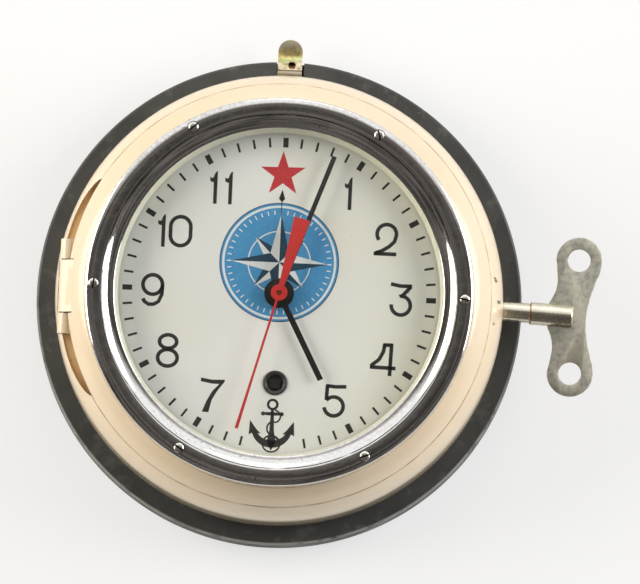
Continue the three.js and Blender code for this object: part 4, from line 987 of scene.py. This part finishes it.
def make_anchor():
    ring = bend_line(0, 7.9, 1.75, 1.75, 0, 360)
    loop = bend_line(0, -7.0, 3.3, 3.1, 0, 360)
    rope = bend_line(0.2, 3.4, 2.9, 2.5, 75, -60) + bend_line(0.6, -1.2, 2.4, 2.6, 110, 230)
    rope += [(0.4, -3.9), (2.2, -5.0), (3.3, -7.0)]
    parts = [
        strokes([moved(ring, *ANCHOR)], 0.95, 0, BLACK_INK),
        strokes([moved(rope, *ANCHOR), moved(loop, *ANCHOR)], 0.62, 1, BLACK_INK)]
    stock = bend_line(-3.5, 4.35, 0.8, 0.8, 40, 320) + [(-1.0, 3.7), (1.0, 3.7)]
    stock += bend_line(3.5, 4.35, 0.8, 0.8, -140, 140) + [(1.0, 5.0), (-1.0, 5.0)]
    shank = [(-.55, 6.3), (.55, 6.3), (.85, -2.0), (1.7, -6.2), (0, -9.6), (-1.7, -6.2), (-.85, -2.0)]
    arms = [(-8.2, -1.4)] + bend_line(0, -1.2, 7.6, 7.3, 188, 352) + [(8.2, -1.4), (6.2, -2.9)]
    arms += bend_line(0, -1.4, 5.7, 4.3, -18, -162) + [(-6.2, -2.9)]
    fluke = [(8.3, 1.7), (8.6, -3.8), (7.0, -3.0), (4.1, -3.3), (5.7, -1.7)]
    flukes = [[(x * side, z) for x, z in fluke] for side in (-1, 1)]
    parts += [filled(moved(outline, *ANCHOR)) for outline in (stock, shank, arms, *flukes)]
    fit(gather(*parts), "dial_anchor", "case", "black_paint")


def make_winding_cup():
    low = 54.964
    cup = turned([
        (3.1, low), (4, low), (4, 61.064), (4.68, 61.064), (4.68, 61.464), (4.18, 61.764), (3.1, 61.364)],
        BLACKENED, 96, 0.12, at(0, 0, -WINDING_DROP))
    fit(cup, "winding_cup_blackened", "case", "black_paint", "winding_cup")


def blade(half_width, length, hub, low, high, finish):
    """A plain hand: a straight blade with a square end from a round hub, pointing at 12."""
    tip = [(half_width, length), (-half_width, length)]
    start = asin(half_width / hub)
    angles = (-start - (tau - 2 * start) * k / 72 for k in range(73))
    round_hub = [(hub * sin(a), hub * cos(a)) for a in angles]
    return plate(tip + round_hub, low, high, finish, bevel=0.12)


# Half width, length, radii of the hub and its bore, how far the back and front stand before the
# dial, the turn from 12 o'clock, and the names of the piece, the body and the node
STRAIGHT_HANDS = [
    (1.1, 36.4, 5.65, 3.9, 2.6, 3.2, 152, "hour_hand_black", "hours", "hour_hand"),
    (0.9, 55.8, 4.2, 2.2, 4.4, 5.0, 19.5, "minute_hand_black", "minutes", "minute_hand")]


def make_straight_hands():
    for half_width, length, hub, bore, back, front, turn, name, body, part in STRAIGHT_HANDS:
        low, high = DIAL_FRONT + back, DIAL_FRONT + front
        hand = blade(half_width, length, hub, low, high, BLACK_PAINT)
        cut(hand, rod(bore, low - 1, high + 1, BLACK_PAINT))
        hand.data.transform(Matrix.Rotation(radians(turn), 4, "Y"))
        fit(hand, name, body, "black_paint", part)


def make_second_hand():
    low, high = DIAL_FRONT + 6.2, DIAL_FRONT + 6.8
    right = [(3.15, -29.3), (0.9, -1.6), (0.45, 3.15), (0.45, 32.3), (0.63, 53.9)]
    wedge = plate(right + [(-x, z) for x, z in reversed(right)], low, high, RED_PAINT, bevel=0.1)
    join(wedge, rod(3.15, low, high, RED_PAINT, ease=0.15))
    cut(wedge, rod(0.9, low - 1, high + 1, RED_PAINT))
    wedge.data.transform(Matrix.Rotation(radians(194.9), 4, "Y"))
    fit(wedge, "second_hand_red", "seconds", "red_paint", "second_hand")


# ---- hanger tab and key


TAB_TILT = radians(-45)


def make_tab():
    half, top = 4.65, 101.6
    strip = eased([
        (77.5, 16.7), (88.408, 16.7), (94.008, 11.1), (top + 1, 11.1), (top + 1, 12.3), (94.5, 12.3),
        (88.9, 17.9), (77.5, 17.9)], 1.5, 6)
    tab = prism(*([(x, -depth, z) for z, depth in strip] for x in (-half, half)), PASSIVATED)
    keep = [(-half - 0.1, 70), (half + 0.1, 70)]
    keep += [on_circle(half, 180 * k / 48, top - half) for k in range(49)]
    cut(tab, plate(keep, 5, 20, PASSIVATED), operation="INTERSECT")
    drilled = at(0.8, 14.35, 91.6) @ Matrix.Rotation(TAB_TILT, 4, "X")
    cut(tab, rod(1.35, -4, 4, PASSIVATED, drilled, 48))
    cut(tab, *[rod(1.1, 5, 20, PASSIVATED, at(0, 0, z), 32) for z in TAB_SCREWS])
    rounded(tab, 0.16, 2, 50)
    fit(tidy(tab, 40), "hanger_tab_passivated", "case", "passivated_steel", "hanger_tab")


CURVE_STEPS = 16


def curve_points(*ends):
    """Points of a quadratic curve from its start, bend and end, without its first."""
    ends = [Vector(point) for point in ends]
    return [on_curve(*ends, (k + 1) / CURVE_STEPS) for k in range(CURVE_STEPS)]


KEY_PIVOT = 81.4
KEY_DROOP = (Matrix.Translation((KEY_PIVOT * MM, 0, 0)) @ Matrix.Rotation(radians(2.4), 4, "Y")
             @ Matrix.Translation((-KEY_PIVOT * MM, 0, 0)))
KEY_START = 79.7
KEY_STEP = WALL_RADIUS + 10.4
KEY_END = KEY_STEP + 16.2


def make_key_shaft():
    shaft = turned([
        (0, KEY_START), (3.7, KEY_START), (3.7, KEY_STEP), (4.25, KEY_STEP), (4.25, KEY_END - 0.4),
        (3.85, KEY_END), (0, KEY_END)], NICKEL, 128, 0.18, LOCK_AXIS)
    socket = block((KEY_START - 1, LOCK_DEPTH - 2.2, -2.2), (KEY_START + 6.5, LOCK_DEPTH + 2.2, 2.2), NICKEL)
    slot = block((KEY_END - 9.4, LOCK_DEPTH - 0.9, -6), (KEY_END + 1, LOCK_DEPTH + 0.9, 6), NICKEL)
    cut(shaft, socket, slot)
    shaft.data.transform(KEY_DROOP)
    fit(shaft, "key_shaft_nickel", "key", "nickel", "key_shaft")


def make_key_wing():
    high, end, waist, shoulder, shoulder_half, hole = 21.65, 8.75, 4.5, 10.0, 4.9, 4.28
    neck = end - 1.1
    upper = [(-shoulder, shoulder_half)]
    upper += curve_points(upper[-1], (-neck + 0.6, high * 0.45), (-neck, high * 0.66))
    upper += curve_points(upper[-1], (-neck - 0.3, high * 0.8), (-end, high))
    upper += [on_circle(end, 180 * (1 - k / 48), high) for k in range(1, 49)]
    upper += curve_points(upper[-1], (end, high - 3), (end - 1.2, high - 6))
    upper += curve_points(upper[-1], (waist, high * 0.3), (waist, 0))
    outline = upper + [(x, -z) for x, z in reversed(upper[:-1])]
    wing = plate(outline, LOCK_DEPTH - 0.8, LOCK_DEPTH + 0.8, STAMPED)
    for side in (-1, 1):
        cut(wing, rod(hole, LOCK_DEPTH - 3, LOCK_DEPTH + 3, STAMPED, at(0, 0, side * high), 96))
    rounded(wing, 0.3, 3, 40)
    wing.data.transform(KEY_DROOP @ at(KEY_END + 0.78, 0, 0))
    fit(tidy(wing), "key_wing_stamped", "key", "steel", "key_wing")


for make in (
        make_base, make_housing, make_cover, make_bezel, make_bezel_screws, make_glass, make_reflector,
        make_dial, make_numerals, make_marks, make_star, make_roundel, make_anchor, make_winding_cup,
        make_straight_hands, make_second_hand, make_tab, make_key_shaft, make_key_wing):
    make()

# The nodes that keep their CAD shape, by the record's slot
NODE_FINISH = {
    "steel": TURNED_STEEL, "brass": BRASS, "rubber": RUBBER, "nickel": NICKEL, "black_paint": BLACKENED,
    "passivated_steel": PASSIVATED, "chrome": CHROME, "cream_enamel": ENAMEL, "black_moulding": MOULDING,
    "dial_paint": DIAL_PAINT, "red_paint": RED_PAINT, "clear_glass": GLASS}
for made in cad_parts.values():
    for spot in made.material_slots:
        spot.material = NODE_FINISH[spot.material.name.split(".")[0]]
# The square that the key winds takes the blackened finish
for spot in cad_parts["winding_arbor"].material_slots:
    spot.material = BLACKENED


# ---- camera, light and stage

ROLL = radians(2.6)
RISE = radians(4.7)
LENS_DISTANCE = 5000.0
VIEW_WIDTH = 244.1
SENSOR = 36.0
camera_up = Vector((-sin(ROLL), 0.0, cos(ROLL)))
towards = Vector((0.0, -1.0, 0.0)) * cos(RISE) - camera_up * sin(RISE)
lens = bpy.data.cameras.new("camera")
lens.sensor_width = SENSOR
lens.lens = SENSOR * LENS_DISTANCE / VIEW_WIDTH
lens.clip_start = 0.1
lens.clip_end = 20.0
lens.shift_x = 0.0639
lens.shift_y = 0.0175
camera = placed(lens)
screen_up = (camera_up - towards * camera_up.dot(towards)).normalized()
right = screen_up.cross(towards).normalized()
turn = Matrix((right, screen_up, towards)).transposed().to_4x4()
stand = towards * LENS_DISTANCE + Vector((0, -FLANGE_DEPTH, 0))
camera.matrix_world = Matrix.Translation(stand * MM) @ turn
bpy.context.scene.camera = camera


def lamp(name, place, size, watts, colour):
    """A round soft lamp that faces the clock, placed in metres."""
    light = bpy.data.lights.new(name, "AREA")
    light.shape = "DISK"
    light.size = size
    light.energy = watts
    light.color = rgba(colour)[:3]
    made = placed(light)
    made.location = place
    made.rotation_euler = (-Vector(place)).to_track_quat("-Z", "Y").to_euler()


lamp("window_right", (1.9, -1.05, 0.5), 1.8, 42.0, "#FFFEFC")
lamp("window_left", (-1.9, -1.05, 0.4), 1.8, 44.0, "#FFF9EC")
lamp("ceiling", (0.1, -0.9, 1.7), 1.0, 2.2, "#FFEEE2")

SCREEN_SHARE = 0.62
BACKDROP_HALF = 2000
BEHIND = 3


def make_backdrop():
    """A pale matt wall, in part a white screen to the camera, that is seen from the front only."""
    paper, shader, _ = surface("wall_paper_white", "#FAFAF9", 0.9)
    tree = paper.node_tree
    seen = node(tree, "ShaderNodeLightPath").outputs["Is Camera Ray"]
    share = maths("MULTIPLY", seen, SCREEN_SHARE)
    white = result(tree, "ShaderNodeEmission", {0: rgba("#FFFFFF"), 1: 1.0})
    front = result(tree, "ShaderNodeMixShader", {0: share, 1: shader.outputs[0], 2: white})
    behind = node(tree, "ShaderNodeNewGeometry").outputs["Backfacing"]
    clear = result(tree, "ShaderNodeBsdfTransparent")
    mixed = result(tree, "ShaderNodeMixShader", {0: behind, 1: front, 2: clear})
    end = next(n for n in tree.nodes if n.type == "OUTPUT_MATERIAL")
    tree.links.new(mixed, end.inputs["Surface"])
    signs = (-1, -1), (1, -1), (1, 1), (-1, 1)
    corners = [(x * BACKDROP_HALF, BEHIND, z * BACKDROP_HALF) for x, z in signs]
    made = new_piece(corners, faces=[(0, 1, 2, 3)], finish=paper)
    made.name = "backdrop"


def make_world():
    """White to the camera; to mirrors, a bright wall side and a dim room side; even light elsewhere."""
    world = bpy.data.worlds.new("room")
    bpy.context.scene.world = world
    world.use_nodes = True
    tree = world.node_tree
    tree.nodes.clear()
    path = node(tree, "ShaderNodeLightPath").outputs
    way = node(tree, "ShaderNodeTexCoord").outputs["Generated"]
    _, y, z = axes(way)
    overhead = ramp(z, 0.2, 0.5)
    above_floor = ramp(z, -0.6, -0.1)
    wall_side = product(ramp(y, -0.2, 0.0), above_floor)
    bright = maths("MAXIMUM", overhead, wall_side)
    dim = result(tree, "ShaderNodeTexNoise", {"Vector": way, "Scale": 5.0, "Detail": 3.0})
    room = ramp(dim, 0.38, 0.68, 0.04, 0.22)
    shade = result(tree, MIX, {0: bright, 2: room, 3: 1.25})
    tint = node(tree, MIX, {0: bright, 6: rgba("#FFF3EA"), 7: rgba("#FFFFFF")}, data_type="RGBA").outputs[2]
    above = ramp(z, -0.7, 0.8, 0.14, 0.34)
    even = result(tree, "ShaderNodeBackground", {0: rgba("#FFFFFF"), 1: above})
    mirrored = result(tree, "ShaderNodeBackground", {0: tint, 1: shade})
    white = result(tree, "ShaderNodeBackground", {0: rgba("#FFFFFF"), 1: 1.0})
    glossy = result(tree, "ShaderNodeMixShader", {0: path["Is Glossy Ray"], 1: even, 2: mirrored})
    shown = result(tree, "ShaderNodeMixShader", {0: path["Is Camera Ray"], 1: glossy, 2: white})
    node(tree, "ShaderNodeOutputWorld", {0: shown})


make_backdrop()
make_world()
bpy.context.scene.view_settings.view_transform = "Standard"
